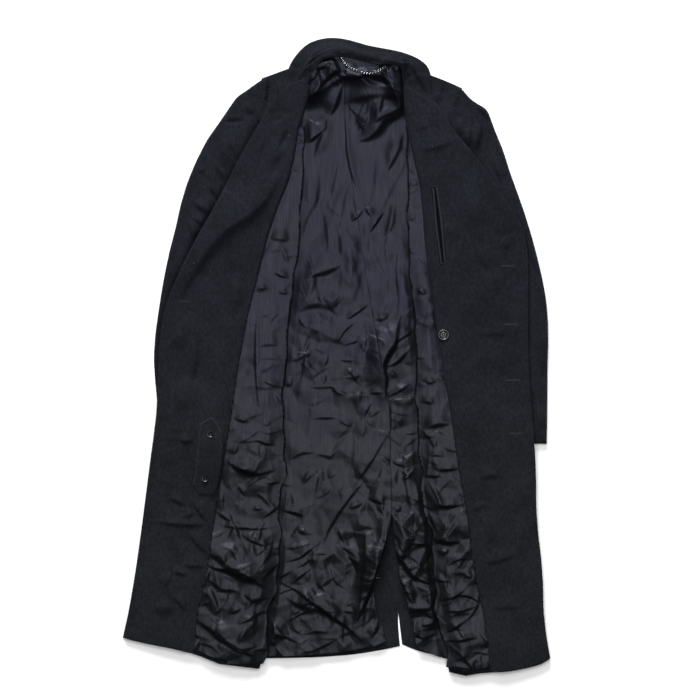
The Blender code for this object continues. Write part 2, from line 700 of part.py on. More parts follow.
def add_chain(pile, satin, steel):
    """Hanger chain as a round cord between two sewn tabs at the neck seam."""
    for name, x, y, heading in CHAIN_TABS:
        turn = math.radians(heading)
        along = np.array([math.cos(turn), math.sin(turn)])
        across = np.array([-along[1], along[0]])
        u = np.linspace(-0.5, 0.5, SMALL_CELLS + 1)[:, None, None] * CHAIN_TAB_LENGTH
        v = np.linspace(-0.5, 0.5, SMALL_CELLS + 1)[None, :, None] * CHAIN_TAB_WIDTH
        points = np.array([x, y]) + along * u + across * v
        pile.cover(lay_panel(pile, name, points[..., 0], points[..., 1], SATIN, satin))
    places = np.arange(len(CHAIN_ROUTE))
    fine = np.linspace(0, len(CHAIN_ROUTE) - 1, CHAIN_POINTS)
    xs = smooth(places, column(CHAIN_ROUTE, CHAIN_ROUTE_COLUMNS, "x"))(fine)
    ys = smooth(places, column(CHAIN_ROUTE, CHAIN_ROUTE_COLUMNS, "y"))(fine)
    support = pile.support()
    near = [support[pile.cells(xs + dx, ys + dy)] for dx in (-CELL, 0, CELL) for dy in (-CELL, 0, CELL)]
    zs = np.max(near, axis=0) + CHAIN_RADIUS
    for _ in range(SOFTENING):
        zs = np.maximum(zs, (np.roll(zs, 1) + np.roll(zs, -1)) / 2.0)
    curve = bpy.data.curves.new("hanger_chain", "CURVE")
    curve.dimensions = "3D"
    curve.bevel_depth = CHAIN_RADIUS * MM
    curve.bevel_resolution = 2
    curve.use_fill_caps = True
    spline = curve.splines.new("POLY")
    spline.points.add(CHAIN_POINTS - 1)
    for point, x, y, z in zip(spline.points, xs, ys, zs):
        point.co = (x * MM, y * MM, z * MM, 1.0)
    curve.materials.append(steel)
    bpy.context.scene.collection.objects.link(bpy.data.objects.new("hanger_chain", curve))


def build():
    for item in list(bpy.data.objects):
        bpy.data.objects.remove(item, do_unlink=True)
    wool = make_material("navy_wool", (0.014, 0.015, 0.021), 0.95)
    satin = make_material("grey_satin", (0.045, 0.045, 0.058), 0.45)
    plastic = make_material("black_button", (0.012, 0.012, 0.014), 0.2)
    steel = make_material("chain_steel", (0.62, 0.63, 0.65), 0.28, 1.0)

    pile = Pile()
    add_backs(pile, wool)
    add_button(pile, "vent_button", VENT_BUTTON_AT, TAB_BUTTON_DIAMETER, plastic)
    add_back_linings(pile, satin)
    fronts = [
        Front(-1.0, LEFT_SECTIONS, LEFT_SHOULDER, LEFT_GORGE, LEFT_UNDER_HEM, LEFT_FRONT_HEM),
        Front(1.0, RIGHT_SECTIONS, RIGHT_SHOULDER, RIGHT_GORGE, RIGHT_UNDER_HEM, RIGHT_FRONT_HEM),
    ]
    for front in fronts:
        front.lay_under(pile)
    add_sleeve(pile, "left", LEFT_SLEEVE, LEFT_SLEEVE_TOP, LEFT_CUFF, wool)
    add_sleeve(pile, "right", RIGHT_SLEEVE, RIGHT_SLEEVE_TOP, RIGHT_CUFF, wool)
    for front in fronts:
        front.lay_over(pile, wool, satin)
    add_collar(pile, wool)
    add_pocket_jets(pile, wool)
    add_throat_tab(pile, wool)
    for name, x, y in TAB_BUTTONS:
        add_button(pile, name, (x, y), TAB_BUTTON_DIAMETER, plastic)
    add_button(pile, "inside_button", INSIDE_BUTTON_AT, INSIDE_BUTTON_DIAMETER, plastic)
    add_chain(pile, satin, steel)


build()
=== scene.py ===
import math
import random

import bmesh
import bpy
import numpy as np
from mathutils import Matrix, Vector
from mathutils.bvhtree import BVHTree
from mathutils.geometry import delaunay_2d_cdt
from mathutils.kdtree import KDTree


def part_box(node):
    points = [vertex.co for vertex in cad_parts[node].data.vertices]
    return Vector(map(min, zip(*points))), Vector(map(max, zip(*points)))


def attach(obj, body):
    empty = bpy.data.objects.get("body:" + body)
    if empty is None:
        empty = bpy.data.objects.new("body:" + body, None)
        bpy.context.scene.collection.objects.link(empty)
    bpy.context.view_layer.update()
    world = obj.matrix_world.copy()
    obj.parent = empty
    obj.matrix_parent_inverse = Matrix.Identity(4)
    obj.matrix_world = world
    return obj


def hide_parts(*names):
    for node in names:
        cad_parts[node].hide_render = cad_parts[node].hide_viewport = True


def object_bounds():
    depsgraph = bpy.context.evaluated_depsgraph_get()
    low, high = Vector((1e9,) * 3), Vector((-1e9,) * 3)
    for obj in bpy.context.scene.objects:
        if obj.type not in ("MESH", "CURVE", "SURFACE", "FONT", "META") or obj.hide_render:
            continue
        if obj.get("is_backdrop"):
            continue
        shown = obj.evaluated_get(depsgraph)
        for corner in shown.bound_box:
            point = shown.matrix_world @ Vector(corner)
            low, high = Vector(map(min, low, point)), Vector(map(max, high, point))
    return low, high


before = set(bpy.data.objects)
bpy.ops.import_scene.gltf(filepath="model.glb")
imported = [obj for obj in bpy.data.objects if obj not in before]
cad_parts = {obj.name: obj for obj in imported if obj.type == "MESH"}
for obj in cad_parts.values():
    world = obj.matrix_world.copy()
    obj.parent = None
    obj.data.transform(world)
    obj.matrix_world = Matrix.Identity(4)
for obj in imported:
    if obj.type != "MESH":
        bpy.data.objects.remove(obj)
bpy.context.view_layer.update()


# Back: two halves of heavy wool coating, joined down the centre and left open below as a vent.
# They lie flat on the floor and carry everything else; their wool shows at the vent and the hem.
# Sizes here and below are in millimetres, and MM brings them to the frame's metres.
MM = 0.001
WOOL_THICKNESS = 2.2
WOOL_SPACING = 3.0
RIM_WIDTH = 12.0
WOOL_BODY = "#0d0e13"
WOOL_RAISED = "#181a22"
WOOL_GREYED = "#191c1f"
# The rim colour: rubbed wear and a painted highlight along edges.
WOOL_RUBBED_AND_HIGHLIT = "#24262d"
WOOL_LINT = "#5a5b62"
WOOL_SHEEN = "#9aa2b8"
NAP_GRAIN = 2.4
NAP_BRUSHED = 5.0
NAP_CLOUD = 60.0
LINT_APART = 26.0
LINT_SIZE = 0.8
RIM_STITCHED = 0.4


def linear(colour):
    """An sRGB hex colour as linear red, green, blue and alpha."""
    shares = [int(colour[i:i + 2], 16) / 255 for i in (1, 3, 5)]
    return [c / 12.92 if c <= 0.04045 else ((c + 0.055) / 1.055) ** 2.4 for c in shares] + [1.0]


def add_node(tree, kind, inputs=None, **settings):
    """A node with its own settings. Each input, named or numbered, takes a value, a hex colour, a link from
    a socket, or a link from the first output that another node has in use."""
    node = tree.nodes.new(kind)
    for name, value in settings.items():
        setattr(node, name, value)
    for name, value in (inputs or {}).items():
        if isinstance(value, bpy.types.Node):
            value = next(output for output in value.outputs if output.enabled)
        if isinstance(value, bpy.types.NodeSocket):
            tree.links.new(value, node.inputs[name])
        else:
            node.inputs[name].default_value = linear(value) if isinstance(value, str) else value
    return node


def per_metre(size):
    """The scale at which a noise pattern repeats about once in a size in millimetres."""
    return 1.0 / (size * MM)


def new_material(name):
    """An empty material, its node tree, and the place on the object for its patterns."""
    material = bpy.data.materials.new(name)
    material.use_nodes = True
    tree = material.node_tree
    tree.nodes.clear()
    return material, tree, add_node(tree, "ShaderNodeTexCoord").outputs["Object"]


def milled_wool():
    """Milled wool coating: a felted, brushed face, so no weave shows, only a short nap that is mottled
    in tone, a grazing sheen, slow clouding where it has been brushed, pale specks of lint, and along its
    edges a paler rim, partly rubbed wear and partly painted highlight, with a row of stitching pressed into it."""
    material, tree, place = new_material("milled_wool_coating")
    grain = add_node(tree, "ShaderNodeTexNoise", {
        "Vector": place, "Scale": per_metre(NAP_GRAIN), "Detail": 3.0, "Roughness": 0.65})
    brushed_place = add_node(tree, "ShaderNodeMapping", {"Vector": place, "Scale": (1.0, 0.6, 1.0)})
    brushed = add_node(tree, "ShaderNodeTexNoise", {
        "Vector": brushed_place, "Scale": per_metre(NAP_BRUSHED), "Detail": 4.0, "Roughness": 0.6})
    cloud = add_node(tree, "ShaderNodeTexNoise", {
        "Vector": place, "Scale": per_metre(NAP_CLOUD), "Detail": 5.0, "Roughness": 0.6})
    nap = add_node(tree, "ShaderNodeMath", {0: grain, 1: brushed}, operation="ADD")
    tone = add_node(tree, "ShaderNodeMath", {0: nap, 1: cloud}, operation="ADD")
    share = add_node(tree, "ShaderNodeMapRange", {
        "Value": tone, "From Min": 1.1, "From Max": 1.95}, interpolation_type="SMOOTHSTEP")
    height = add_node(tree, "ShaderNodeSeparateXYZ", {0: place}).outputs[1]
    below = add_node(tree, "ShaderNodeMapRange", {
        "Value": height, "From Min": 0.2, "From Max": -0.3}, interpolation_type="SMOOTHSTEP")
    raised = add_node(tree, "ShaderNodeMix", {0: below, 6: WOOL_RAISED, 7: WOOL_GREYED}, data_type="RGBA")
    cloth = add_node(tree, "ShaderNodeMix", {0: share, 6: WOOL_BODY, 7: raised}, data_type="RGBA")
    speck = add_node(tree, "ShaderNodeTexVoronoi", {
        "Vector": place, "Scale": per_metre(LINT_APART), "Randomness": 1.0})
    near = add_node(tree, "ShaderNodeMapRange", {
        "Value": speck, "From Min": 0.5 * LINT_SIZE / LINT_APART, "From Max": LINT_SIZE / LINT_APART,
        "To Min": 1.0, "To Max": 0.0})
    chosen = add_node(tree, "ShaderNodeSeparateColor", {0: speck.outputs["Color"]})
    some = add_node(tree, "ShaderNodeMath", {0: chosen, 1: 0.55}, operation="GREATER_THAN")
    lint = add_node(tree, "ShaderNodeMath", {0: near, 1: some}, operation="MULTIPLY")
    rim = add_node(tree, "ShaderNodeAttribute", attribute_name="rim").outputs["Fac"]
    # Paler rim: rubbed wear and a painted highlight where edges and strip crowns would catch the light.
    rubbed_and_highlit = add_node(tree, "ShaderNodeMapRange", {
        "Value": rim, "From Min": 0.72, "From Max": 1.0, "To Max": 0.75}, interpolation_type="SMOOTHSTEP")
    edged = add_node(tree, "ShaderNodeMix", {0: rubbed_and_highlit, 6: cloth, 7: WOOL_RUBBED_AND_HIGHLIT}, data_type="RGBA")
    colour = add_node(tree, "ShaderNodeMix", {0: lint, 6: edged, 7: WOOL_LINT}, data_type="RGBA")
    stitched = add_node(tree, "ShaderNodeMath", {0: rim, 1: RIM_STITCHED, 2: 0.07}, operation="COMPARE")
    pressed = add_node(tree, "ShaderNodeMath", {0: stitched, 1: -1.6, 2: nap}, operation="MULTIPLY_ADD")
    rough = add_node(tree, "ShaderNodeMapRange", {
        "Value": brushed, "From Min": 0.3, "From Max": 0.7, "To Min": 0.98, "To Max": 0.84})
    bump = add_node(tree, "ShaderNodeBump", {"Height": pressed, "Strength": 0.55, "Distance": 0.5 * MM})
    shader = add_node(tree, "ShaderNodeBsdfPrincipled", {
        "Base Color": colour, "Roughness": rough, "Normal": bump, "Specular IOR Level": 0.12,
        "Sheen Weight": 0.03, "Sheen Roughness": 0.5, "Sheen Tint": WOOL_SHEEN})
    add_node(tree, "ShaderNodeOutputMaterial", {"Surface": shader})
    return material


wool = milled_wool()

# What is already laid, as heights over a square grid; each cloth is laid on it in turn.
CELL = 2.5
LAY_GAP = 0.3
GRID_HALF_X, GRID_HALF_Y = 426.0, 630.0
grid_x = np.arange(-GRID_HALF_X, GRID_HALF_X + 0.1, CELL)
grid_y = np.arange(-GRID_HALF_Y, GRID_HALF_Y + 0.1, CELL)
place_x, place_y = np.meshgrid(grid_x, grid_y)
pile = np.zeros(place_x.shape)


def ramp(value, start, over):
    """A share that climbs from 0 at a start to 1 at a distance over; downwards if that is negative."""
    return np.clip((value - start) / over, 0, 1)


def smoothstep(share):
    return share * share * (3 - 2 * share)


def corners(node):
    """The corners of a node's triangles, in millimetres."""
    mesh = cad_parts[node].data
    points = np.empty(3 * len(mesh.vertices))
    mesh.vertices.foreach_get("co", points)
    mesh.calc_loop_triangles()
    picks = np.empty(3 * len(mesh.loop_triangles), int)
    mesh.loop_triangles.foreach_get("vertices", picks)
    return points.reshape(-1, 3)[picks].reshape(-1, 3, 3) / MM


def crossings(start, stop, level):
    """The x at which lines from start to stop cross a level of y."""
    cut = (start[:, 1] <= level) != (stop[:, 1] <= level)
    a, b = start[cut], stop[cut]
    return a[:, 0] + (level - a[:, 1]) / (b[:, 1] - a[:, 1]) * (b[:, 0] - a[:, 0])


LEVEL_STEP = 2.0
LEVEL_INSET = 0.1


def slices(node):
    """Levels of y up through a node, and its lowest and highest x at each of them."""
    low, high = (corner.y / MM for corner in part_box(node))
    levels = np.linspace(low + LEVEL_INSET, high - LEVEL_INSET, int((high - low) / LEVEL_STEP))
    triangles = corners(node)
    start, stop = triangles.reshape(-1, 3), triangles[:, (1, 2, 0)].reshape(-1, 3)
    found = [crossings(start, stop, level) for level in levels]
    return levels, np.array([(x.min(), x.max()) for x in found])


def outline(levels, across):
    """A closed outline that runs up the lowest x of each level and down the highest."""
    left, right = (np.column_stack([across[:, i], levels]) for i in (0, 1))
    return np.vstack([left, right[::-1]])


def run_of(points):
    """How far along a line each of its points lies."""
    return np.concatenate([[0], np.cumsum(np.linalg.norm(np.diff(points, axis=0), axis=1))])


def read_along(points, at):
    """The places at given distances along a line of points."""
    return np.column_stack([np.interp(at, run_of(points), points[:, i]) for i in (0, 1)])


def smoothed(line, rounds):
    """A line of values eased in place between its two ends."""
    for _ in range(rounds):
        line[1:-1] = (line[:-2] + 2 * line[1:-1] + line[2:]) / 4
    return line


CORNER_REACH = 10.0


def eased(points, spacing, corner=40.0, rounds=14):
    """Evenly spaced points round an outline, its corners kept and the rest eased into a curve."""
    loop = np.vstack([points, points[:1]])
    whole = run_of(loop)[-1]
    ring = read_along(loop, np.linspace(0, whole, int(whole / spacing), endpoint=False))
    reach = max(2, round(CORNER_REACH / spacing))
    ahead, behind = np.roll(ring, -reach, 0) - ring, ring - np.roll(ring, reach, 0)
    bend = ahead[:, 0] * behind[:, 1] - ahead[:, 1] * behind[:, 0]
    turn = np.abs(np.arctan2(bend, (ahead * behind).sum(1)))
    sharpest = np.max([np.roll(turn, i) for i in range(-reach, reach + 1)], axis=0)
    kept = (turn > math.radians(corner)) & (turn >= sharpest - 1e-9)
    for _ in range(rounds):
        middle = (np.roll(ring, 1, 0) + np.roll(ring, -1, 0)) / 2
        ring = np.where(kept[:, None], ring, (ring + middle) / 2)
    return ring


def spans(ring, level):
    """The stretches of x inside an outline at one level of y."""
    return np.sort(crossings(ring, np.roll(ring, -1, 0), level)).reshape(-1, 2)


def inside(ring):
    """The grid cells inside an outline."""
    cells = np.zeros(place_x.shape, bool)
    for row, level in enumerate(grid_y):
        for low, high in spans(ring, level):
            cells[row] |= (grid_x >= low) & (grid_x <= high)
    return cells


def blurred(field, reach):
    """The field averaged over a square of cells, twice."""
    width = 2 * reach + 1
    for axis in (0, 1, 0, 1):
        padding = [(reach + 1, reach) if a == axis else (0, 0) for a in (0, 1)]
        total = np.cumsum(np.pad(field, padding, mode="edge"), axis)
        size = field.shape[axis]
        first = np.take(total, range(0, size), axis)
        field = (np.take(total, range(width, width + size), axis) - first) / width
    return field


def blurred_within(field, cells, reach):
    """The same average taken over the marked cells alone, and carried on past them."""
    weight = blurred(cells.astype(float), reach)
    wide = blurred(cells.astype(float), 4 * reach)
    near = blurred(np.where(cells, field, 0), reach) / np.maximum(weight, 1e-9)
    far = blurred(np.where(cells, field, 0), 4 * reach) / np.maximum(wide, 1e-9)
    return np.where(weight > 1e-3, near, far)


RAY_FROM = 300.0


def top_of(points, faces, cells):
    """The height of a surface's top over the marked cells, and the cells where it was met."""
    tree = BVHTree.FromPolygons([Vector(p) for p in points], [tuple(f) for f in faces])
    height = np.zeros(place_x.shape)
    hit = np.zeros(place_x.shape, bool)
    for row, column in zip(*np.nonzero(cells)):
        found = tree.ray_cast(Vector((grid_x[column], grid_y[row], RAY_FROM)), Vector((0, 0, -1)))[0]
        if found is not None:
            height[row, column] = found.z
            hit[row, column] = True
    return height, hit


def node_height(node, cells, reach=5):
    """The top of a node's solid over the grid, with the solid's flat facets smoothed away."""
    points = corners(node).reshape(-1, 3)
    return blurred_within(*top_of(points, np.arange(len(points)).reshape(-1, 3), cells), reach)


# How folds are shaped: the most height for a length, the steps along the line, the widths counted on each
# side, how far a lean widens one side and narrows the other, and how the ends die out.
FOLD_STEEPEST = 0.07
FOLD_STEP = 4.0
FOLD_REACH = 2.6
LEAN_WIDENS = 3.0
LEAN_NARROWS = 0.75
END_FADE = 2.2
END_WIDTH = 0.25


def fold_heights(folds, x, y):
    """Heights of listed folds at places x, y. A fold is (height, width, lean, point, point, ...): cloth
    that climbs to the line of points, gently on its left and steeply on its right by its lean (the other
    way round if that is negative), that dies out at both ends and is low where it is short."""
    field = np.zeros(x.shape)
    for height, width, lean, *points in folds:
        points = np.array(points, float)
        length = run_of(points)[-1]
        path = smoothed(read_along(points, np.linspace(0, length, max(5, int(length / FOLD_STEP)))), 3)
        height = max(-FOLD_STEEPEST * length, min(height, FOLD_STEEPEST * length))
        gentle = min(width * (1 + LEAN_WIDENS * abs(lean)), max(0.2 * length, 1.2 * width))
        steep = width * (1 - LEAN_NARROWS * abs(lean))
        low, high = path.min(0) - FOLD_REACH * gentle, path.max(0) + FOLD_REACH * gentle
        near = np.nonzero((x > low[0]) & (x < high[0]) & (y > low[1]) & (y < high[1]))
        off_x, off_y = x[near][:, None] - path[:, 0], y[near][:, None] - path[:, 1]
        apart = np.hypot(off_x, off_y)
        nearest = apart.argmin(1)
        rows = np.arange(len(nearest))
        along = np.gradient(path, axis=0)[nearest]
        off_x, off_y = off_x[rows, nearest], off_y[rows, nearest]
        side = along[:, 0] * off_y - along[:, 1] * off_x
        spread = np.where(side * lean >= 0, gentle, steep)
        further = (along[:, 0] * off_x + along[:, 1] * off_y) / (along ** 2).sum(1)
        share = np.clip((nearest + further) / (len(path) - 1), 0, 1)
        fade = smoothstep(np.clip(END_FADE * np.minimum(share, 1 - share), 0, 1))
        spread = spread * (END_WIDTH + (1 - END_WIDTH) * fade)
        field[near] += height * fade * np.exp(-0.5 * (apart[rows, nearest] / spread) ** 2)
    return field


STREWN_BOW = 0.3
STREWN_LEANS = (-0.55, 0.2, 0.55, 0.7)


def strewn_folds(seed, cells, count, length, width, height, heading, spread):
    """Small folds strewn over the marked cells, uneven in size and heading, from a fixed seed."""
    pick = random.Random(seed)
    rows, columns = np.nonzero(cells)
    folds = []
    for _ in range(count):
        at = pick.randrange(len(rows))
        x, y = grid_x[columns[at]], grid_y[rows[at]]
        angle = math.radians(heading + pick.uniform(-spread, spread))
        half = pick.uniform(*length) / 2
        bow = pick.uniform(-STREWN_BOW, STREWN_BOW) * half
        run, rise = math.cos(angle), math.sin(angle)
        points = ((x - half * run, y - half * rise), (x - bow * rise, y + bow * run),
                  (x + half * run, y + half * rise))
        folds.append((pick.uniform(*height), pick.uniform(*width), pick.choice(STREWN_LEANS), *points))
    return folds


def lay(base, cells, rise, thickness, ease=3):
    """Lays a cloth on the pile and returns its form, eased up where what lies below lifts it, without the
    folds that it takes on top."""
    folds = np.zeros(pile.shape)
    folds[cells] = rise(place_x[cells], place_y[cells])
    resting = pile + thickness + LAY_GAP
    lifted = np.where(cells, np.maximum(resting - base - folds, 0.0), 0.0)
    bed = base + np.maximum(blurred(lifted, ease), lifted)
    pile[cells] = np.maximum(pile, bed + folds)[cells]
    return bed


def sampled(field, x, y):
    """A grid field read between its cells."""
    column = np.clip((x - grid_x[0]) / CELL, 0, len(grid_x) - 1.001)
    row = np.clip((y - grid_y[0]) / CELL, 0, len(grid_y) - 1.001)
    i, j = row.astype(int), column.astype(int)
    v, u = row - i, column - j
    lower = field[i, j] * (1 - u) + field[i, j + 1] * u
    upper = field[i + 1, j] * (1 - u) + field[i + 1, j + 1] * u
    return lower * (1 - v) + upper * v


EDGE_CLEAR = 0.55


def sheet_plan(ring, spacing):
    """Points and triangles that fill an outline evenly, the outline's own points first."""
    points = [Vector(p) for p in ring]
    near = KDTree(len(ring))
    for i, (x, y) in enumerate(ring):
        near.insert((x, y, 0.0), i)
    near.balance()
    rise = spacing * math.sqrt(3) / 2
    for row in range(math.ceil(ring[:, 1].min() / rise), int(ring[:, 1].max() / rise) + 1):
        for low, high in spans(ring, row * rise):
            start = math.ceil(low / spacing) * spacing + (spacing / 2 if row % 2 else 0.0)
            for x in np.arange(start, high, spacing):
                if near.find((x, row * rise, 0.0))[2] > EDGE_CLEAR * spacing:
                    points.append(Vector((x, row * rise)))
    filled = delaunay_2d_cdt(points, [], [list(range(len(ring)))], 1, 1e-6)
    plan = np.array([tuple(p) for p in filled[0]])
    edge = [near.find((x, y, 0.0))[2] for x, y in plan]
    return plan, np.array(filled[2]), np.array(edge)


def add_object(name, data):
    thing = bpy.data.objects.new(name, data)
    bpy.context.scene.collection.objects.link(thing)
    return thing


def finished(name, mesh, material, smooth_below):
    """An object for a mesh of one material, shaded smooth except over edges sharper than an angle."""
    mesh.materials.clear()
    mesh.materials.append(material)
    mesh.polygons.foreach_set("use_smooth", [True] * len(mesh.polygons))
    mesh.set_sharp_from_angle(angle=math.radians(smooth_below))
    return add_object(name, mesh)


PIECE_SMOOTH = 50.0


def new_piece(name, vertices, faces, material):
    """A finished object from points in millimetres."""
    mesh = bpy.data.meshes.new(name)
    points = [tuple(p) for p in np.asarray(vertices) * MM]
    mesh.from_pydata(points, [], [tuple(int(i) for i in face) for face in faces])
    return finished(name, mesh, material, PIECE_SMOOTH)


def signed_area(ring):
    """Area inside an outline, below zero if it runs clockwise."""
    x, y = ring.T
    return 0.5 * (np.dot(x, np.roll(y, -1)) - np.dot(y, np.roll(x, -1)))


UNDER_COARSER = 4
UNDER_STEPS = (-4, -2, 0, 2, 4)


def cloth_sheet(name, ring, bed, rise, thickness, spacing, material, roll=1.5, fall=None, worn=0.85):
    """A closed thin shell on a bed of heights and its folds, its edge turned down by fall over the width of
    roll and painted paler there, as rubbed wear and a painted highlight, by the given share; the underside,
    which never shows, has fewer points."""
    plan, triangles, edge = sheet_plan(ring, spacing)
    x, y = plan.T
    z = sampled(bed, x, y) + rise(x, y)
    drop = np.full(len(x), 0.5 * thickness) if fall is None else fall(x, y, z)
    share = np.clip(1 - edge / roll, 0, 1)
    z = np.maximum(z - drop * (1 - np.sqrt(1 - share ** 2)), 0.0)
    under_plan, under_triangles, under_edge = sheet_plan(ring, UNDER_COARSER * spacing)
    lowest = np.minimum.reduce([np.roll(pile, step, axis) for axis in (0, 1) for step in UNDER_STEPS])
    under_z = sampled(lowest, *under_plan.T)
    rim, count = len(ring), len(x)
    under_z[:rim] = z[:rim]
    vertices = np.vstack([np.column_stack([plan, z]),
                          np.column_stack([under_plan, np.maximum(under_z - thickness, 0.0)])])
    faces = []
    for points, picks, first, up in ((plan, triangles, 0, True), (under_plan, under_triangles, count, False)):
        a, b, c = (points[picks[:, i]] for i in range(3))
        rising = (b[:, 0] - a[:, 0]) * (c[:, 1] - a[:, 1]) - (b[:, 1] - a[:, 1]) * (c[:, 0] - a[:, 0]) > 0
        faces += [*np.where((rising == up)[:, None], picks, picks[:, ::-1]) + first]
    way = 1 if signed_area(ring) > 0 else -1
    for i in range(rim):
        j = (i + 1) % rim
        faces.append((i, count + i, count + j, j)[::way])
    piece = new_piece(name, vertices, faces, material)
    # Paler edge of the sheet: rubbed wear and a painted highlight.
    rim_share = worn * np.clip(1 - np.concatenate([edge, under_edge]) / RIM_WIDTH, 0, 1)
    piece.data.attributes.new("rim", "FLOAT", "POINT").data.foreach_set("value", rim_share)
    return piece


def fasten(piece, slot, *nodes):
    """Fixes a piece to the coat's one body, in place of the nodes it replaces; the slot is not used."""
    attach(piece, "root")
    if nodes:
        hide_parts(*nodes)


def lay_cloth(name, cloth, ring, base, rise, held, rests_on, *nodes, bedding=None, ease=3, **edge):
    """Lays a cloth, given as (material, slot, thickness, spacing), on the pile and adds its sheet, fixed to
    the coat's body."""
    material, slot, thickness, spacing = cloth
    bed = lay(base, inside(ring), rise, thickness if bedding is None else bedding, ease)
    piece = cloth_sheet(name, ring, bed, rise, thickness, spacing, material, **edge)
    fasten(piece, slot)
    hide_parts(*nodes)


WOOL = (wool, "navy_wool", WOOL_THICKNESS, WOOL_SPACING)
BACK_SPACING = 2 * WOOL_SPACING
BACK_WOOL = (wool, "navy_wool", WOOL_THICKNESS, BACK_SPACING)
VENT_LAP = 9.0
VENT_OPEN = -478.0
VENT_EASE = 25.0


def no_folds(x, y):
    return np.zeros(x.shape)


for side in ("left", "right"):
    back_node = "back_" + side
    levels, across = slices(back_node)
    if side == "left":
        across[:, 1] += VENT_LAP * ramp(levels, VENT_OPEN, VENT_EASE)
    back_ring = eased(outline(levels, across), BACK_SPACING)
    lay_cloth(back_node + "_wool", BACK_WOOL, back_ring, np.full(pile.shape, WOOL_THICKNESS), no_folds, "laid",
              ["floor"], back_node, bedding=WOOL_THICKNESS - LAY_GAP)


def box_of(node):
    """A node's lowest and highest corner, in millimetres."""
    return [np.array(corner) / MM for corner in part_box(node)]


# The vent's small button is sewn to the left half, and the lining lies half over it.
low, high = box_of("vent_button")
middle = (low + high) / 2
on_button = np.hypot(place_x - middle[0], place_y - middle[1]) < (high - low)[0] / 2
pile[on_button] = high[2]


# Back lining: two halves of grey satin, sewn in at the neck and the hem with slack to spare.
# The slack lies in drapes under the collar, long soft folds down the back, and a crush of small
# creases towards the hem; each half is turned away from the vent in a slanting fold.
SATIN_THICKNESS = 0.9
SATIN_SPACING = 2.0
SATIN_BODY = "#08080c"
SATIN_LIT = "#0b0b10"
SATIN_GREYED = "#080909"
SATIN_GLOSS = "#d2d2fa"
SATIN_GLOSS_GREYED = "#d8dcf0"
SATIN_SHEEN = "#b9b6c6"
SATIN_RIB = 2.4
SATIN_CLOUD = 90.0
CRUSH_SIZE = 26.0
CREASE_WIDTH = 0.62
CREASE_HEIGHT = 0.6


def lining_satin():
    """Viscose lining satin: a close warp face with a soft gloss that turns each crease into a light
    and a dark side, faint ribs along the warp, and small crush marks, more of them towards the hem."""
    material, tree, place = new_material("viscose_lining_satin")
    height = add_node(tree, "ShaderNodeSeparateXYZ", {0: place}).outputs[1]
    below = add_node(tree, "ShaderNodeMapRange", {
        "Value": height, "From Min": 0.12, "From Max": -0.3}, interpolation_type="SMOOTHSTEP")
    cloud = add_node(tree, "ShaderNodeTexNoise", {
        "Vector": place, "Scale": per_metre(SATIN_CLOUD), "Detail": 4.0, "Roughness": 0.55})
    crush = add_node(tree, "ShaderNodeTexNoise", {
        "Vector": place, "Scale": per_metre(CRUSH_SIZE), "Detail": 3.0, "Roughness": 0.5, "Distortion": 0.6},
        noise_type="RIDGED_MULTIFRACTAL", normalize=True)
    warp_place = add_node(tree, "ShaderNodeMapping", {"Vector": place, "Scale": (1.0, 0.05, 1.0)})
    warp = add_node(tree, "ShaderNodeTexNoise", {
        "Vector": warp_place, "Scale": per_metre(SATIN_RIB), "Detail": 2.0})
    upper = add_node(tree, "ShaderNodeMix", {0: cloud, 6: SATIN_BODY, 7: SATIN_LIT}, data_type="RGBA")
    colour = add_node(tree, "ShaderNodeMix", {0: below, 6: upper, 7: SATIN_GREYED}, data_type="RGBA")
    rough = add_node(tree, "ShaderNodeMapRange", {
        "Value": warp, "From Min": 0.3, "From Max": 0.7, "To Min": 0.36, "To Max": 0.48})
    depth = add_node(tree, "ShaderNodeMapRange", {"Value": below, "To Min": 0.3, "To Max": 1.0})
    marks = add_node(tree, "ShaderNodeMath", {0: crush, 1: depth}, operation="MULTIPLY")
    crushed = add_node(tree, "ShaderNodeBump", {"Height": marks, "Strength": 0.3, "Distance": 3.0 * MM})
    ribbed = add_node(tree, "ShaderNodeBump", {
        "Height": warp, "Strength": 0.2, "Distance": 0.3 * MM, "Normal": crushed})
    faded = add_node(tree, "ShaderNodeMapRange", {
        "Value": cloud, "From Min": 0.38, "From Max": 0.66, "To Min": 0.0, "To Max": 0.8})
    greyed = add_node(tree, "ShaderNodeMath", {0: below, 1: faded}, operation="ADD", use_clamp=True)
    gloss = add_node(tree, "ShaderNodeMix", {
        0: greyed, 6: SATIN_GLOSS, 7: SATIN_GLOSS_GREYED}, data_type="RGBA")
    shader = add_node(tree, "ShaderNodeBsdfPrincipled", {
        "Base Color": colour, "Roughness": rough, "Normal": ribbed, "Specular IOR Level": 0.23,
        "Specular Tint": gloss, "Sheen Weight": 0.01, "Sheen Roughness": 0.4, "Sheen Tint": SATIN_SHEEN})
    add_node(tree, "ShaderNodeOutputMaterial", {"Surface": shader})
    return material


satin = lining_satin()
SATIN = (satin, "grey_satin", SATIN_THICKNESS, SATIN_SPACING)

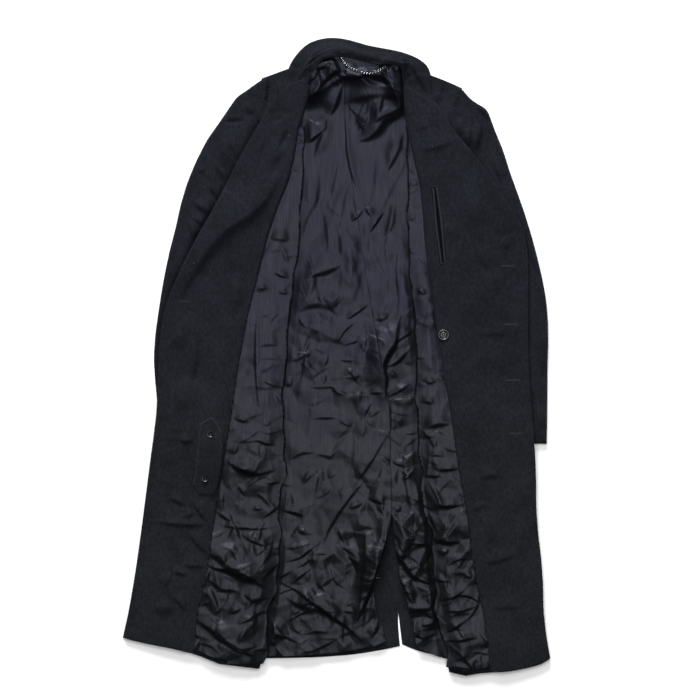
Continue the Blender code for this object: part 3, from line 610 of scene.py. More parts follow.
# Folds of the back lining as (height, width, lean, points), from the neck down to the hem.
NECK_DRAPES = (
    (22, 19, -0.72, (-74, 468), (-54, 483), (-24, 500), (6, 519), (23, 528), (40, 522), (62, 506), (92, 504),
     (140, 490)),
    (15, 24, 0.5, (8, 474), (36, 486), (62, 494), (92, 494), (134, 482)),
    (10, 9, 0.6, (-14, 444), (-4, 470), (6, 498), (14, 514)),
    (10, 10, 0.7, (-66, 394), (-44, 410), (-24, 428), (-16, 456)),
    (7, 8, -0.4, (-44, 366), (-20, 430), (-6, 452)),
    (18, 22, 0.62, (28, 402), (56, 410), (72, 424), (84, 444), (112, 454), (138, 468)),
    (9, 10, 0.4, (60, 430), (84, 452), (110, 462), (134, 474)),
    (6, 6, 0.5, (40, 418), (52, 440), (60, 460)),
    (8, 6, 0.6, (72, 442), (80, 466), (88, 492)),
    (7, 9, 0.5, (90, 338), (112, 385), (128, 424)),
    (9, 7, 0.6, (-52, 498), (-40, 526), (-30, 556)),
    (9, 6, -0.6, (-26, 506), (-14, 534), (-6, 560)),
    (9, 6, -0.6, (44, 540), (66, 535), (92, 532), (112, 534)),
    (9, 6, -0.5, (94, 552), (104, 534), (122, 508)),
)
LONG_FOLDS = (
    (3.2, 4, 0.6, (17, 470), (18, 410), (19, 385), (26, 350), (37, 318), (44, 287), (55, 274)),
    (3.0, 7, -0.4, (8, 385), (-5, 343), (-11, 310), (-14, 270)),
    (3.5, 8, 0.4, (-34, 362), (-30, 318), (-33, 291), (-52, 256), (-72, 214)),
    (2.5, 6, 0.4, (-29, 292), (-19, 249), (-15, 215), (-18, 180)),
    (3.0, 8, -0.4, (29, 340), (13, 300), (4, 255), (-2, 210)),
    (4.0, 9, 0.4, (108, 305), (99, 242), (92, 205), (97, 165), (106, 150)),
    (3.0, 6, 0.5, (117, 215), (112, 172), (117, 112), (114, 70)),
    (2.6, 9, 0.2, (66, 240), (60, 190), (64, 140)),
    (2.4, 10, -0.2, (-52, 380), (-56, 330), (-50, 280)),
    (2.6, 9, 0.3, (70, 390), (78, 350), (74, 300)),
    (2.2, 8, -0.3, (30, 220), (24, 170), (28, 120)),
    (4.5, 5, 0.6, (47, 285), (58, 272), (70, 258)),
    (4.5, 4, 0.7, (24, 252), (38, 261), (52, 276)),
    (6.0, 4.5, 0.75, (58, 226), (76, 256), (94, 276)),
)
MIDDLE_CREASES = (
    (12.0, 15, 0.66, (-64, 142), (-40, 158), (-16, 163), (14, 176)),
    (9.0, 16, 0.5, (-76, 80), (-52, 100), (-31, 104), (-10, 95), (8, 72)),
    (5.5, 4.5, 0.7, (12, 64), (32, 80), (64, 101)),
    (4.5, 4.5, 0.7, (-2, 22), (13, 49), (40, 70)),
    (4.0, 4, 0.6, (10, 18), (27, 28), (56, 34)),
    (5.0, 7, 0.4, (70, 72), (84, 70), (98, 84)),
    (4.5, 7, -0.5, (-68, -56), (-59, -10), (-51, 24), (-48, 50)),
    (3.0, 4, 0.5, (-74, 76), (-58, 54)),
    (15.0, 13, -0.62, (122, 96), (112, 52), (106, 24), (92, 4), (84, -16), (90, -40), (90, -74), (94, -100)),
    (6.0, 6, 0.6, (104, 22), (126, 40), (150, 52)),
    (6.0, 6, -0.6, (96, -78), (120, -80), (150, -76)),
    (5.0, 5, 0.6, (92, -78), (112, -64), (136, -52)),
    (5.5, 5, 0.5, (86, -20), (104, -14), (118, -4), (144, 24)),
    (5.0, 4, -0.5, (90, -18), (104, -28), (118, -38)),
    (4.0, 5, 0.6, (56, -68), (71, -65), (88, -68)),
    (3.5, 6, 0.5, (-30, -46), (-10, -54), (6, -68), (22, -74)),
    (3.5, 4, 0.5, (54, -116), (68, -108), (84, -96)),
    (3.5, 4, 0.5, (46, -126), (53, -104), (68, -80)),
    (3.0, 5, 0.5, (2, -116), (16, -124), (30, -131)),
    (3.0, 5, 0.5, (10, -34), (24, -28), (36, -22)),
    (3.0, 4, -0.5, (112, -62), (124, -56), (138, -46)),
    (5.0, 8, 0.5, (-104, -56), (-92, -46), (-80, -56)),
    (3.5, 6, 0.3, (102, -70), (103, -110), (103, -150)),
)
HEM_CREASES = (
    (3.5, 5, 0.6, (-96, -196), (-67, -178), (-34, -178)),
    (3.0, 4, 0.5, (-62, -240), (-52, -220), (-44, -206)),
    (3.0, 4, 0.5, (-22, -226), (-6, -221), (4, -214)),
    (5.5, 4.5, 0.7, (-106, -286), (-79, -290), (-56, -300)),
    (4.5, 5, -0.6, (-92, -345), (-76, -325), (-58, -303)),
    (3.6, 5, 0.72, (20, -252), (38, -232), (55, -208), (78, -172), (106, -126)),
    (6.0, 9, 0.66, (-30, -362), (-16, -322), (2, -288), (26, -258), (44, -238), (66, -220)),
    (6.0, 7, 0.6, (18, -282), (34, -278), (52, -270)),
    (16.0, 9, 0.66, (24, -512), (38, -490), (50, -464), (64, -422), (78, -384), (92, -340), (99, -290)),
    (-7.0, 8, 0.2, (52, -500), (56, -476), (62, -454), (68, -434)),
    (6.0, 6, 0.5, (62, -528), (74, -506), (78, -480)),
    (6.0, 5, 0.7, (-106, -386), (-67, -373), (-48, -358), (-28, -343)),
    (4.0, 4, 0.6, (-108, -360), (-61, -352), (-33, -343)),
    (5.0, 4.5, 0.7, (-48, -369), (-30, -366), (-12, -367)),
    (5.0, 4.5, 0.6, (-90, -428), (-64, -405), (-40, -388)),
    (4.0, 4, 0.6, (-78, -396), (-58, -384), (-44, -370)),
    (9.0, 8, 0.7, (-116, -415), (-76, -434), (-30, -467), (16, -500), (62, -544)),
    (8.0, 13, 0.5, (-108, -440), (-66, -462), (-20, -474), (14, -472)),
    (4.5, 5, 0.6, (-94, -496), (-67, -477), (-44, -474)),
    (4.0, 5, 0.4, (-14, -386), (-3, -417), (22, -437)),
    (5.0, 5, 0.6, (-8, -346), (19, -358), (42, -378)),
    (4.0, 4, 0.6, (12, -370), (28, -376), (44, -388)),
    (3.5, 5, -0.5, (60, -262), (70, -284), (82, -306)),
    (4.0, 5, 0.5, (0, -316), (10, -336), (22, -358)),
    (4.5, 5, 0.6, (-84, -556), (-42, -546), (-15, -534), (6, -524)),
    (3.5, 4, 0.6, (6, -472), (20, -475), (36, -476)),
    (4.5, 5, -0.5, (-118, -497), (-106, -512), (-94, -528)),
    (6.0, 8, 0.5, (52, -312), (54, -370), (48, -430), (38, -490)),
    (4.0, 6, -0.4, (84, -250), (88, -300), (80, -350), (68, -410)),
    (3.5, 5, 0.5, (-70, -520), (-40, -510), (-8, -515)),
    (3.5, 5, 0.5, (-40, -420), (-20, -436), (-6, -460)),
    (3.0, 4, 0.5, (-90, -250), (-80, -262), (-84, -280)),
    (3.0, 4, 0.5, (-30, -262), (-14, -250), (-8, -236)),
)
RIGHT_HEM_CREASES = (
    (4.5, 5, 0.6, (100, -192), (114, -200), (134, -206)),
    (5.0, 6, 0.6, (102, -284), (114, -283), (128, -286)),
    (11.0, 12, 0.66, (98, -340), (120, -374), (144, -408), (184, -424)),
    (4.5, 4, 0.6, (108, -336), (124, -362), (140, -380)),
    (5.0, 4, 0.6, (146, -414), (162, -419), (184, -424)),
    (5.0, 5, 0.6, (114, -402), (137, -452), (154, -470)),
    (5.0, 5, 0.6, (130, -472), (164, -471), (186, -468)),
    (5.0, 5, 0.6, (160, -474), (174, -482), (188, -494)),
    (5.0, 6, 0.6, (138, -514), (160, -524), (192, -514)),
    (4.0, 5, 0.5, (138, -264), (150, -266), (164, -270)),
    (4.0, 6, 0.4, (122, -140), (130, -230), (140, -300)),
    (4.0, 5, 0.5, (130, -316), (142, -326), (156, -324)),
    (3.5, 5, 0.5, (120, -440), (136, -436), (150, -446)),
)

# Layers of crushed facets as (seed, size, height): two that crumple, one that makes the crush uneven, and
# one of small dents; and the bands of y, as (start, over), in which the crush sets in.
FACETS = ((81, 50.0, 10.0), (82, 21.0, 8.0))
PATCHES = (83, 105.0, 1.0)
CRINKLE = (84, 24.0, 4.4)
FACET_LOOSE = 0.46
CRUSH_BAND = (340, -240)
HEM_BAND = (-170, -150)
UPPER_CRUSH = 0.25
HEM_CRUSH = 0.86
EDGE_CRUSH = 0.35


def facets(seed, size, height, cells):
    """Heights over the marked cells of cloth crushed into flat facets of one size, creased between them."""
    pick = random.Random(seed)
    loose = FACET_LOOSE * size
    points = [Vector((x + pick.uniform(-loose, loose), y + pick.uniform(-loose, loose)))
              for y in np.arange(grid_y[0] - size, grid_y[-1] + 2 * size, size)
              for x in np.arange(grid_x[0] - size, grid_x[-1] + 2 * size, size)]
    joined = delaunay_2d_cdt(points, [], [], 0, 1e-6)
    return top_of([(*p, pick.uniform(0, height)) for p in joined[0]], joined[2], cells)[0]


def pressed(folds):
    """Listed folds as thin satin takes them: sharper and lower than they are drawn."""
    return [(CREASE_HEIGHT * height, CREASE_WIDTH * width, *rest) for height, width, *rest in folds]


crushed_part = (np.abs(place_x) < 300) & (place_y < 420)
patchy = np.clip(2.4 * blurred(facets(*PATCHES, crushed_part), 4) - 0.4, 0.2, 1.5)
crinkle = facets(*CRINKLE, crushed_part)
crush = patchy * sum(facets(*layer, crushed_part) for layer in FACETS)

# The folds die out where the turned fronts lie on the lining, and climb under the collar.
FOLD_FADE = 16.0
FOLD_LEAST = 0.3
NECK_CLIMB = 40.0
open_back = np.ones(pile.shape)
for side, inner, inward in (("left", 1, 1), ("right", 0, -1)):
    levels, across = slices("front_lining_" + side)
    fold_x = np.interp(grid_y, levels, across[:, inner])[:, None]
    open_back *= np.clip(inward * (place_x - fold_x) / FOLD_FADE + FOLD_LEAST, 0, 1)
collar_over = node_height("collar", place_y > 440, 1) > 0.5
collar_near = np.minimum(blurred(collar_over.astype(float), 6), 0.55)

# Each half as (side, its creases at the hem, seed, count of small creases, count of soft folds).
LINING_HALVES = (("left", HEM_CREASES, 11, 70, 34), ("right", RIGHT_HEM_CREASES, 12, 36, 26))
HEM_STREW = dict(length=(24, 80), width=(1.8, 3.4), height=(0.8, 2.2), heading=20, spread=80)
BACK_STREW = dict(length=(50, 140), width=(4, 9), height=(0.6, 1.8), heading=86, spread=22)
NECK_STREW = dict(length=(34, 80), width=(2.4, 4.4), height=(2.0, 4.0), heading=60, spread=70)
NECK_STREWN = 12
HEM_DROP, HEM_FROM = 14.0, -500.0
SEAM_LAP, SEAM_FOOT = 6.0, -70.0
NECK_TUCK, NECK_FROM = 9.0, 525.0
EDGE_EASE = 30.0
SEAM_EASE = 40.0
under_collar = (collar_near > 0.06) & (place_y > 505) & (place_x > -60) & (place_x < 135)
lower_back = (place_y < 40) & (place_y > -550) & (open_back > 0.5)
middle_back = (place_y < 430) & (place_y > 0) & (open_back > 0.5)
for side, hem_creases, seed, small_count, soft_count in LINING_HALVES:
    lining_node = "back_lining_" + side
    levels, across = slices(lining_node)
    if side == "right":
        across[:, 0] -= SEAM_LAP * ramp(levels, SEAM_FOOT, SEAM_EASE)
        levels = levels - HEM_DROP * ramp(levels, HEM_FROM, -EDGE_EASE)
    levels = levels + NECK_TUCK * ramp(levels, NECK_FROM, EDGE_EASE)
    lining_ring = eased(outline(levels, across), SATIN_SPACING)
    lining_cells = inside(lining_ring)
    small = strewn_folds(seed, lining_cells & lower_back, small_count, **HEM_STREW)
    soft = strewn_folds(seed + 20, lining_cells & middle_back, soft_count, **BACK_STREW)
    small += strewn_folds(seed + 40, lining_cells & under_collar, NECK_STREWN, **NECK_STREW)
    lining_folds = pressed(NECK_DRAPES + LONG_FOLDS + MIDDLE_CREASES + hem_creases) + small + soft

    def lining_rise(x, y):
        folded = fold_heights(lining_folds, x, y) + NECK_CLIMB * sampled(collar_near, x, y)
        free = sampled(open_back, x, y)
        crushed = ramp(y, *CRUSH_BAND)
        crumpled = (UPPER_CRUSH * crushed + HEM_CRUSH * ramp(y, *HEM_BAND)) * sampled(crush, x, y)
        crumpled += crushed * sampled(crinkle, x, y)
        return folded * free + crumpled * (EDGE_CRUSH + (1 - EDGE_CRUSH) * free)

    lay_cloth(lining_node + "_satin", SATIN, lining_ring, node_height(lining_node, lining_cells), lining_rise,
              "laid", ["back_left_wool", "back_right_wool"], lining_node)


# Sleeves: each is a top piece over an under piece of the same wool, set into the armhole and lying
# flattened beside the body, outside up. The top piece breaks into short creases below the shoulder.
SLEEVE_ROLL = 7.0
SLEEVE_SAG = 0.55
SLEEVE_DIP = {"left": 8.0, "right": 3.0}
SLEEVE_LOFT = 3.5
SLEEVE_TUCK, TUCK_FROM, TUCK_EASE = 10.0, 425.0, 20.0
WOOL_FOLD = 2.4
WOOL_CREASE = 0.62
SLEEVE_CREASES = {
    "left": (
        (-2.6, 4, 0.1, (-216, 438), (-196, 440), (-168, 441)),
        (4.0, 9, -0.5, (-212, 345), (-213, 390), (-208, 436)),
        (-2.6, 4, 0.1, (-204, 412), (-196, 384), (-184, 354)),
        (-2.6, 4, 0.1, (-232, 362), (-218, 336), (-203, 310)),
        (-2.6, 4, 0.1, (-244, 322), (-230, 300), (-214, 278)),
        (3.5, 7, 0.5, (-272, 292), (-252, 280), (-230, 262)),
        (3.5, 6, 0.5, (-278, 264), (-271, 240), (-265, 212)),
        (3.0, 5, 0.5, (-276, 266), (-262, 256), (-244, 243)),
        (3.0, 6, 0.4, (-264, 350), (-252, 348), (-240, 352)),
        (3.0, 7, -0.4, (-172, 483), (-163, 468), (-152, 452)),
        (2.5, 10, 0.3, (-296, 214), (-286, 160), (-290, 100)),
        (2.5, 9, 0.3, (-318, 60), (-322, 0), (-318, -60)),
    ),
    "right": (
        (5.0, 7, 0.5, (236, 452), (226, 430), (220, 408)),
        (5.5, 7, -0.5, (272, 446), (264, 414), (258, 378)),
        (4.5, 6, -0.4, (252, 440), (246, 414), (248, 388)),
        (4.0, 9, 0.4, (256, 470), (276, 462), (286, 440)),
        (3.5, 8, 0.4, (284, 392), (300, 350), (312, 316)),
        (3.0, 7, 0.4, (300, 420), (304, 380), (318, 352)),
        (3.0, 8, 0.3, (352, 240), (366, 190), (376, 150)),
        (3.0, 9, 0.3, (380, 90), (382, 20), (378, -50)),
        (2.5, 8, 0.3, (372, -80), (378, -110), (376, -140)),
    ),
}


def wool_folds(folds, x, y):
    """Heights of folds as thick wool takes them: pressed narrow, and standing higher than satin's."""
    narrowed = [(height, WOOL_CREASE * width, *rest) for height, width, *rest in folds]
    return WOOL_FOLD * fold_heights(narrowed, x, y)


for side, inner, inward in (("left", 1, 1), ("right", 0, -1)):
    facing_cells = inside(eased(outline(*slices("facing_" + side)), WOOL_SPACING))
    facing_near = np.clip(2 * blurred(facing_cells.astype(float), 3), 0, 1)
    for layer in ("under_sleeve_", "top_sleeve_"):
        sleeve_node = layer + side
        levels, across = slices(sleeve_node)
        across[:, inner] += inward * SLEEVE_TUCK * ramp(levels, TUCK_FROM, TUCK_EASE)
        sleeve_ring = eased(outline(levels, across), WOOL_SPACING)
        sleeve_folds = SLEEVE_CREASES[side] if layer == "top_sleeve_" else ()
        sleeve_base = node_height(sleeve_node, inside(sleeve_ring)) + (SLEEVE_LOFT if sleeve_folds else 0)
        below = pile.copy()

        def sleeve_rise(x, y):
            return wool_folds(sleeve_folds, x, y) - SLEEVE_DIP[side] * sampled(facing_near, x, y)

        def sleeve_fall(x, y, z):
            return np.maximum(SLEEVE_SAG * (z - sampled(below, x, y)) - 1.0, 0.5 * WOOL_THICKNESS)

        lay_cloth(sleeve_node + "_wool", WOOL, sleeve_ring, sleeve_base, sleeve_rise, "laid", ["floor"],
                  sleeve_node, roll=SLEEVE_ROLL, fall=sleeve_fall)


# Fronts: the wool of each front, sewn to the back at the side and the shoulder and turned back outward
# over itself. Its shoulder shows between the armhole and the collar; the rest lies under the facing.
FRONT_SMOOTH = 40.0
SHOULDER_FOOT = {"left": 440.0, "right": 430.0}
SHOULDER_LIFT = 2.8
SHOULDER_BED = 0.5
SHOULDER_WOOL = (wool, "navy_wool", 1.2, WOOL_SPACING)
SHOULDER_CREASES = {
    "left": (
        (-3.0, 3.5, 0.1, (-126, 530), (-127, 495), (-128, 452)),
        (3.0, 5, 0.5, (-112, 520), (-108, 500), (-110, 480)),
        (3.0, 4, -0.4, (-141, 522), (-143, 490), (-146, 460)),
    ),
    "right": (
        (-3.0, 3.5, 0.1, (197, 520), (199, 500), (200, 470)),
        (3.5, 3.5, 0.3, (234, 484), (222, 462), (208, 438)),
        (3.0, 5, 0.4, (182, 505), (184, 490), (186, 470)),
    ),
}


def merged_copy(node, name, material):
    """A copy of a node's solid with its loose triangles joined, shaded smooth."""
    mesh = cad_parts[node].data.copy()
    mesh.name = name
    shell = bmesh.new()
    shell.from_mesh(mesh)
    bmesh.ops.remove_doubles(shell, verts=shell.verts, dist=0.01 * MM)
    shell.to_mesh(mesh)
    shell.free()
    return finished(name, mesh, material, FRONT_SMOOTH)


for side in ("left", "right"):
    front_node = "front_" + side
    front = merged_copy(front_node, front_node + "_wool", wool)
    fasten(front, "navy_wool", front_node)

    levels, across = slices(front_node)
    front_cells = inside(outline(levels, across))
    front_top = node_height(front_node, front_cells, 1)
    pile[front_cells] = np.maximum(pile, front_top)[front_cells]
    shown = levels > SHOULDER_FOOT[side]
    shoulder_ring = eased(outline(levels[shown], across[shown]), WOOL_SPACING)
    shoulder_base = node_height(front_node, inside(shoulder_ring), 4) + SHOULDER_LIFT

    def shoulder_rise(x, y):
        return wool_folds(SHOULDER_CREASES[side], x, y)

    lay_cloth(front_node + "_shoulder", SHOULDER_WOOL, shoulder_ring, shoulder_base, shoulder_rise, "laid",
              [front_node + "_wool"], bedding=SHOULDER_BED)


# Front linings: a strip of the same satin inside each facing, sewn to its edge. It wraps the fold of
# the turned front, so its inner edge is a round fold that rests on the back lining.
STRIP_TUCK = 8.0
STRIP_LEAST = 2.0
STRIP_ROLL = 2.8
STRIP_EDGE = 0.3
STRIP_CLEAR = 0.5
FOLD_FREE = 28.0
FOLD_WANDER = 1.2
LOWER_WANDER, LOWER_BAND = 1.4, (-60, -150)
FOLD_WAVES = ((1.0, 31, 1), (1.0, 17, 2), (0.7, 9, 0))
SETTLE_WAVES = ((0.3, 27, 1), (0.2, 11, 0))
STRIP_UPPER_CRUSH = 0.14
STRIP_CRUSH, STRIP_BAND = {"left": 0.52, "right": 0.36}, (-40, -220)
STRIP_CRINKLE = 0.7
STRIP_CREASES = {
    "left": (
        (3.0, 3, 0.5, (-86, 438), (-72, 426), (-60, 420)),
        (3.0, 3, 0.5, (-84, 424), (-72, 412), (-60, 406)),
        (3.0, 3, 0.5, (-82, 408), (-72, 400), (-60, 396)),
        (3.0, 3, -0.5, (-78, 440), (-74, 420), (-66, 398)),
        (2.5, 5, 0.5, (-96, 346), (-84, 350), (-64, 348)),
        (10.0, 13, 0.66, (-128, 220), (-108, 224), (-84, 218)),
        (3.0, 4, 0.4, (-104, 210), (-98, 190), (-90, 170)),
        (4.5, 5, 0.6, (-122, 160), (-108, 154), (-86, 146)),
        (5.0, 6, 0.5, (-150, 124), (-138, 132), (-126, 126)),
        (4.0, 4, 0.5, (-112, 122), (-100, 120), (-88, 118)),
        (3.5, 4, 0.6, (-146, 112), (-151, 47), (-151, -18), (-147, -83), (-134, -126)),
        (3.5, 5, 0.5, (-148, -40), (-126, -48), (-102, -58)),
        (5.0, 7, 0.5, (-118, -62), (-108, -74), (-102, -94)),
        (4.0, 5, 0.5, (-196, -113), (-180, -116), (-160, -122)),
        (2.5, 6, 0.4, (-146, 20), (-126, 26), (-104, 22)),
        (2.5, 6, 0.4, (-146, -4), (-124, 0), (-102, -6)),
        (5.5, 6, 0.6, (-156, -152), (-134, -160), (-112, -164)),
        (4.5, 5, -0.5, (-158, -218), (-143, -192), (-132, -166)),
        (14.0, 16, 0.66, (-212, -190), (-180, -206), (-146, -216), (-108, -208)),
        (4.0, 4, 0.6, (-140, -232), (-124, -236), (-104, -232)),
        (3.5, 4, 0.5, (-186, -234), (-178, -250), (-170, -262)),
        (4.5, 4, 0.6, (-142, -304), (-122, -288), (-102, -274)),
        (4.0, 4, 0.6, (-160, -285), (-148, -283), (-134, -282)),
        (5.0, 5, 0.6, (-228, -314), (-183, -317), (-146, -320), (-106, -316)),
        (4.5, 5, -0.5, (-209, -270), (-195, -307), (-180, -340), (-166, -372)),
        (5.0, 5, 0.6, (-186, -327), (-158, -342), (-134, -351), (-112, -344)),
        (17.0, 21, 0.66, (-250, -356), (-213, -378), (-183, -397), (-152, -413), (-122, -438)),
        (6.0, 6, 0.6, (-244, -388), (-210, -396), (-192, -406)),
        (5.0, 6, -0.5, (-240, -418), (-226, -457), (-212, -496)),
        (12.0, 14, 0.7, (-270, -486), (-235, -505), (-207, -526), (-174, -547), (-146, -562)),
        (5.0, 5, 0.5, (-258, -466), (-246, -458), (-232, -456)),
        (5.5, 6, 0.6, (-192, -500), (-168, -490), (-143, -475), (-122, -476)),
        (5.0, 5, -0.5, (-188, -534), (-176, -514), (-163, -496)),
        (4.0, 5, 0.5, (-204, -480), (-188, -472), (-172, -466)),
        (5.0, 5, 0.6, (-140, -418), (-122, -394), (-104, -384)),
        (5.0, 6, -0.5, (-142, -545), (-127, -516), (-130, -482)),
        (4.0, 5, 0.5, (-222, -436), (-200, -432), (-178, -440)),
        (4.0, 5, 0.5, (-176, -440), (-160, -450), (-146, -462)),
    ),
    "right": (
        (4.5, 4, 0.6, (132, 316), (142, 322), (158, 325)),
        (3.0, 4, 0.5, (134, 352), (142, 346), (150, 340)),
        (1.6, 3, 0.5, (136, 288), (148, 280), (163, 276)),
        (1.4, 3, -0.4, (146, 190), (156, 176), (166, 172)),
        (3.5, 5, 0.5, (148, 126), (160, 120), (172, 116)),
        (1.6, 4, 0.4, (152, 68), (164, 58), (182, 62)),
        (3.0, 5, 0.5, (156, -40), (172, -48), (190, -44)),
        (3.5, 5, 0.5, (154, -86), (168, -80), (184, -90)),
        (8.0, 12, 0.6, (160, -136), (186, -122), (218, -124)),
        (5.5, 8, 0.5, (152, -152), (168, -144), (188, -150)),
        (4.5, 5, 0.6, (160, -222), (178, -221), (200, -222)),
        (5.0, 5, 0.6, (188, -212), (208, -208), (230, -208)),
        (5.0, 5, 0.6, (164, -274), (197, -277), (230, -277), (246, -268)),
        (10.0, 11, 0.66, (168, -336), (204, -343), (240, -344)),
        (5.0, 5, -0.5, (195, -344), (217, -317), (236, -294)),
        (4.5, 4, 0.5, (168, -284), (178, -306), (189, -330)),
        (5.0, 5, 0.6, (202, -392), (227, -374), (250, -378)),
        (4.5, 5, 0.6, (176, -414), (192, -416), (214, -418)),
        (5.5, 5, 0.6, (182, -456), (214, -448), (244, -432)),
        (5.0, 5, 0.6, (212, -446), (240, -443), (262, -452), (274, -472)),
        (5.0, 5, 0.6, (194, -474), (230, -473), (268, -462)),
        (4.5, 5, 0.6, (202, -516), (220, -504), (240, -492)),
        (5.0, 5, 0.6, (196, -530), (230, -527), (268, -522)),
        (5.0, 5, 0.6, (216, -540), (238, -562), (258, -588)),
        (4.5, 5, -0.5, (228, -588), (250, -568), (274, -550)),
        (4.0, 5, 0.5, (190, -370), (200, -362), (214, -358)),
        (4.0, 5, 0.5, (232, -402), (244, -410), (258, -408)),
        (3.5, 5, 0.5, (170, -186), (186, -180), (204, -186)),
    ),
}
STREWN_ON_STRIP = {"left": (31, 50), "right": (32, 36)}
STRIP_SMALL = dict(length=(24, 76), width=(1.8, 3.4), height=(0.8, 2.4), heading=15, spread=80)
STRIP_SOFT = dict(length=(20, 60), width=(3, 6), height=(0.5, 1.2), heading=10, spread=40)
STRIP_SOFT_COUNT = 22
lower_strip = place_y < -120
upper_strip = (place_y < 400) & (place_y > -150)


def waves(at, parts):
    """A sum of sine waves, each (height, length, phase), along a line."""
    return sum(height * np.sin(at / length + phase) for height, length, phase in parts)


def distance_from(levels, edge_x):
    """A function of how far places lie from an edge, which has an x at each level of y."""
    return lambda x, y: np.abs(x - np.interp(y, levels, edge_x))


for side, inner, outer, outward in (("left", 1, 0, -1), ("right", 0, 1, 1)):
    strip_node = "front_lining_" + side
    levels, span = slices(strip_node)
    facing_levels, facing_across = slices("facing_" + side)
    seam_out = outward * np.interp(levels, facing_levels, facing_across[:, inner])
    tucked = np.maximum(seam_out + STRIP_TUCK, outward * span[:, inner] + STRIP_LEAST)
    fold_x = span[:, inner] + FOLD_WANDER * waves(levels, FOLD_WAVES) * (
        1 + LOWER_WANDER * ramp(levels, *LOWER_BAND))
    across = np.empty(span.shape)
    across[:, inner] = fold_x
    across[:, outer] = outward * np.minimum(tucked, outward * span[:, outer])
    strip_ring = eased(outline(levels, across), SATIN_SPACING)
    strip_cells = inside(strip_ring)
    seed, count = STREWN_ON_STRIP[side]
    small = strewn_folds(seed, strip_cells & lower_strip, count, **STRIP_SMALL)
    soft = strewn_folds(seed + 20, strip_cells & upper_strip, STRIP_SOFT_COUNT, **STRIP_SOFT)
    strip_folds = pressed(STRIP_CREASES[side]) + small + soft
    from_fold = distance_from(levels, fold_x)

    def strip_rise(x, y):
        free = np.clip(from_fold(x, y) / FOLD_FREE, 0.15, 1)
        crushed = ramp(y, *CRUSH_BAND)
        crumpled = (STRIP_UPPER_CRUSH * crushed + STRIP_CRUSH[side] * ramp(y, *STRIP_BAND)) * free
        crumpled = crumpled * sampled(crush, x, y) + STRIP_CRINKLE * crushed * free * sampled(crinkle, x, y)
        return fold_heights(strip_folds, x, y) + crumpled

    def strip_fall(x, y, z):
        settled = 0.5 + waves(y, SETTLE_WAVES)
        down = settled * (z - sampled(below, x, y) - SATIN_THICKNESS - STRIP_CLEAR)
        return np.where(from_fold(x, y) < 2 * STRIP_ROLL, np.maximum(down, STRIP_EDGE), STRIP_EDGE)

    below = pile.copy()
    lay_cloth(strip_node + "_satin", SATIN, strip_ring, node_height(strip_node, strip_cells, 4), strip_rise,
              "folded", ["back_lining_" + side + "_satin"], strip_node, roll=STRIP_ROLL, fall=strip_fall)


# Facings: the broad wool panel inside each front, sewn to it along the front edge and the hem and pressed.
# The left one keeps the roll of its lapel as a raised band; both have soft vertical wear creases.
FACING_ROLL = 5.0
FACING_LOFT = 4.0
FACING_EASE = 4
FACING_EDGE = 0.3
FACING_FOLD = {"left": 1.05, "right": 0.62}
SEAM_FADE = 30.0
SEAM_LEAST = 0.25
FACING_CREASES = {
    "left": (
        (-2.4, 9, 0.4, (-132, 430), (-102, 452), (-74, 454)),
        (-2.6, 7, -0.4, (-112, 382), (-96, 410), (-86, 436)),
        (-2.2, 6, 0.5, (-128, 328), (-112, 352), (-96, 380)),
        (-1.6, 6, 0.3, (-142, 350), (-134, 384), (-124, 410)),
        (2.5, 12, 0.3, (-196, 165), (-190, 120), (-194, 70)),
        (3.4, 12, 0.6, (-284, -13), (-295, -75), (-298, -119)),
        (2.6, 14, 0.5, (-268, 95), (-288, 51), (-322, 14)),
        (2.5, 10, -0.3, (-262, 60), (-264, 0), (-272, -60)),
        (3.0, 8, 0.4, (-300, -150), (-282, -156), (-264, -152)),
        (2.2, 6, 0.7, (-318, -258), (-297, -268), (-277, -279)),
        (2.6, 6, 0.7, (-274, -262), (-257, -286), (-238, -312)),
        (2.4, 6, 0.6, (-350, -306), (-293, -311), (-232, -314)),
        (2.2, 6, 0.6, (-292, -300), (-277, -294), (-262, -288)),
        (3.2, 7, 0.7, (-284, -318), (-257, -350), (-230, -376)),
        (2.2, 5, 0.7, (-294, -389), (-266, -389), (-234, -391)),
        (2.4, 6, 0.7, (-310, -397), (-294, -402), (-276, -408)),
        (2.0, 8, -0.5, (-308, -398), (-315, -414), (-324, -432)),
        (2.2, 7, 0.6, (-306, -440), (-292, -458), (-280, -478)),
        (2.4, 10, -0.3, (-350, -470), (-320, -462), (-296, -470)),
    ),
    "right": (
        (3.5, 10, 0.5, (236, 330), (247, 272), (250, 214)),
        (3.0, 9, 0.5, (258, 216), (270, 188), (284, 156)),
        (3.0, 8, -0.4, (324, 230), (318, 214), (312, 196)),
        (3.5, 10, 0.4, (150, 384), (196, 396), (226, 404)),
        (3.0, 9, 0.4, (140, 420), (158, 430), (178, 434)),
        (2.2, 10, 0.3, (300, 130), (296, 70), (300, 10)),
        (2.0, 8, 0.4, (252, 40), (290, 46), (330, 42)),
        (2.4, 10, 0.3, (240, -60), (246, -120), (242, -180)),
        (2.8, 8, 0.5, (262, -232), (284, -218), (312, -226)),
        (2.6, 7, 0.5, (236, -292), (260, -282), (282, -270)),
        (2.4, 8, 0.4, (268, -286), (284, -330), (276, -366)),
        (2.6, 8, 0.5, (262, -386), (300, -378), (344, -366)),
        (2.4, 9, 0.4, (334, -296), (340, -340), (332, -384)),
        (2.2, 9, 0.4, (280, -470), (320, -462), (352, -470)),
        (2.2, 9, 0.4, (330, -210), (344, -250), (350, -290)),
    ),
}
STREWN_ON_FACING = {"left": 41, "right": 42}
FACING_STREW = dict(count=40, length=(40, 130), width=(9, 18), height=(0.5, 1.6), heading=80, spread=50)
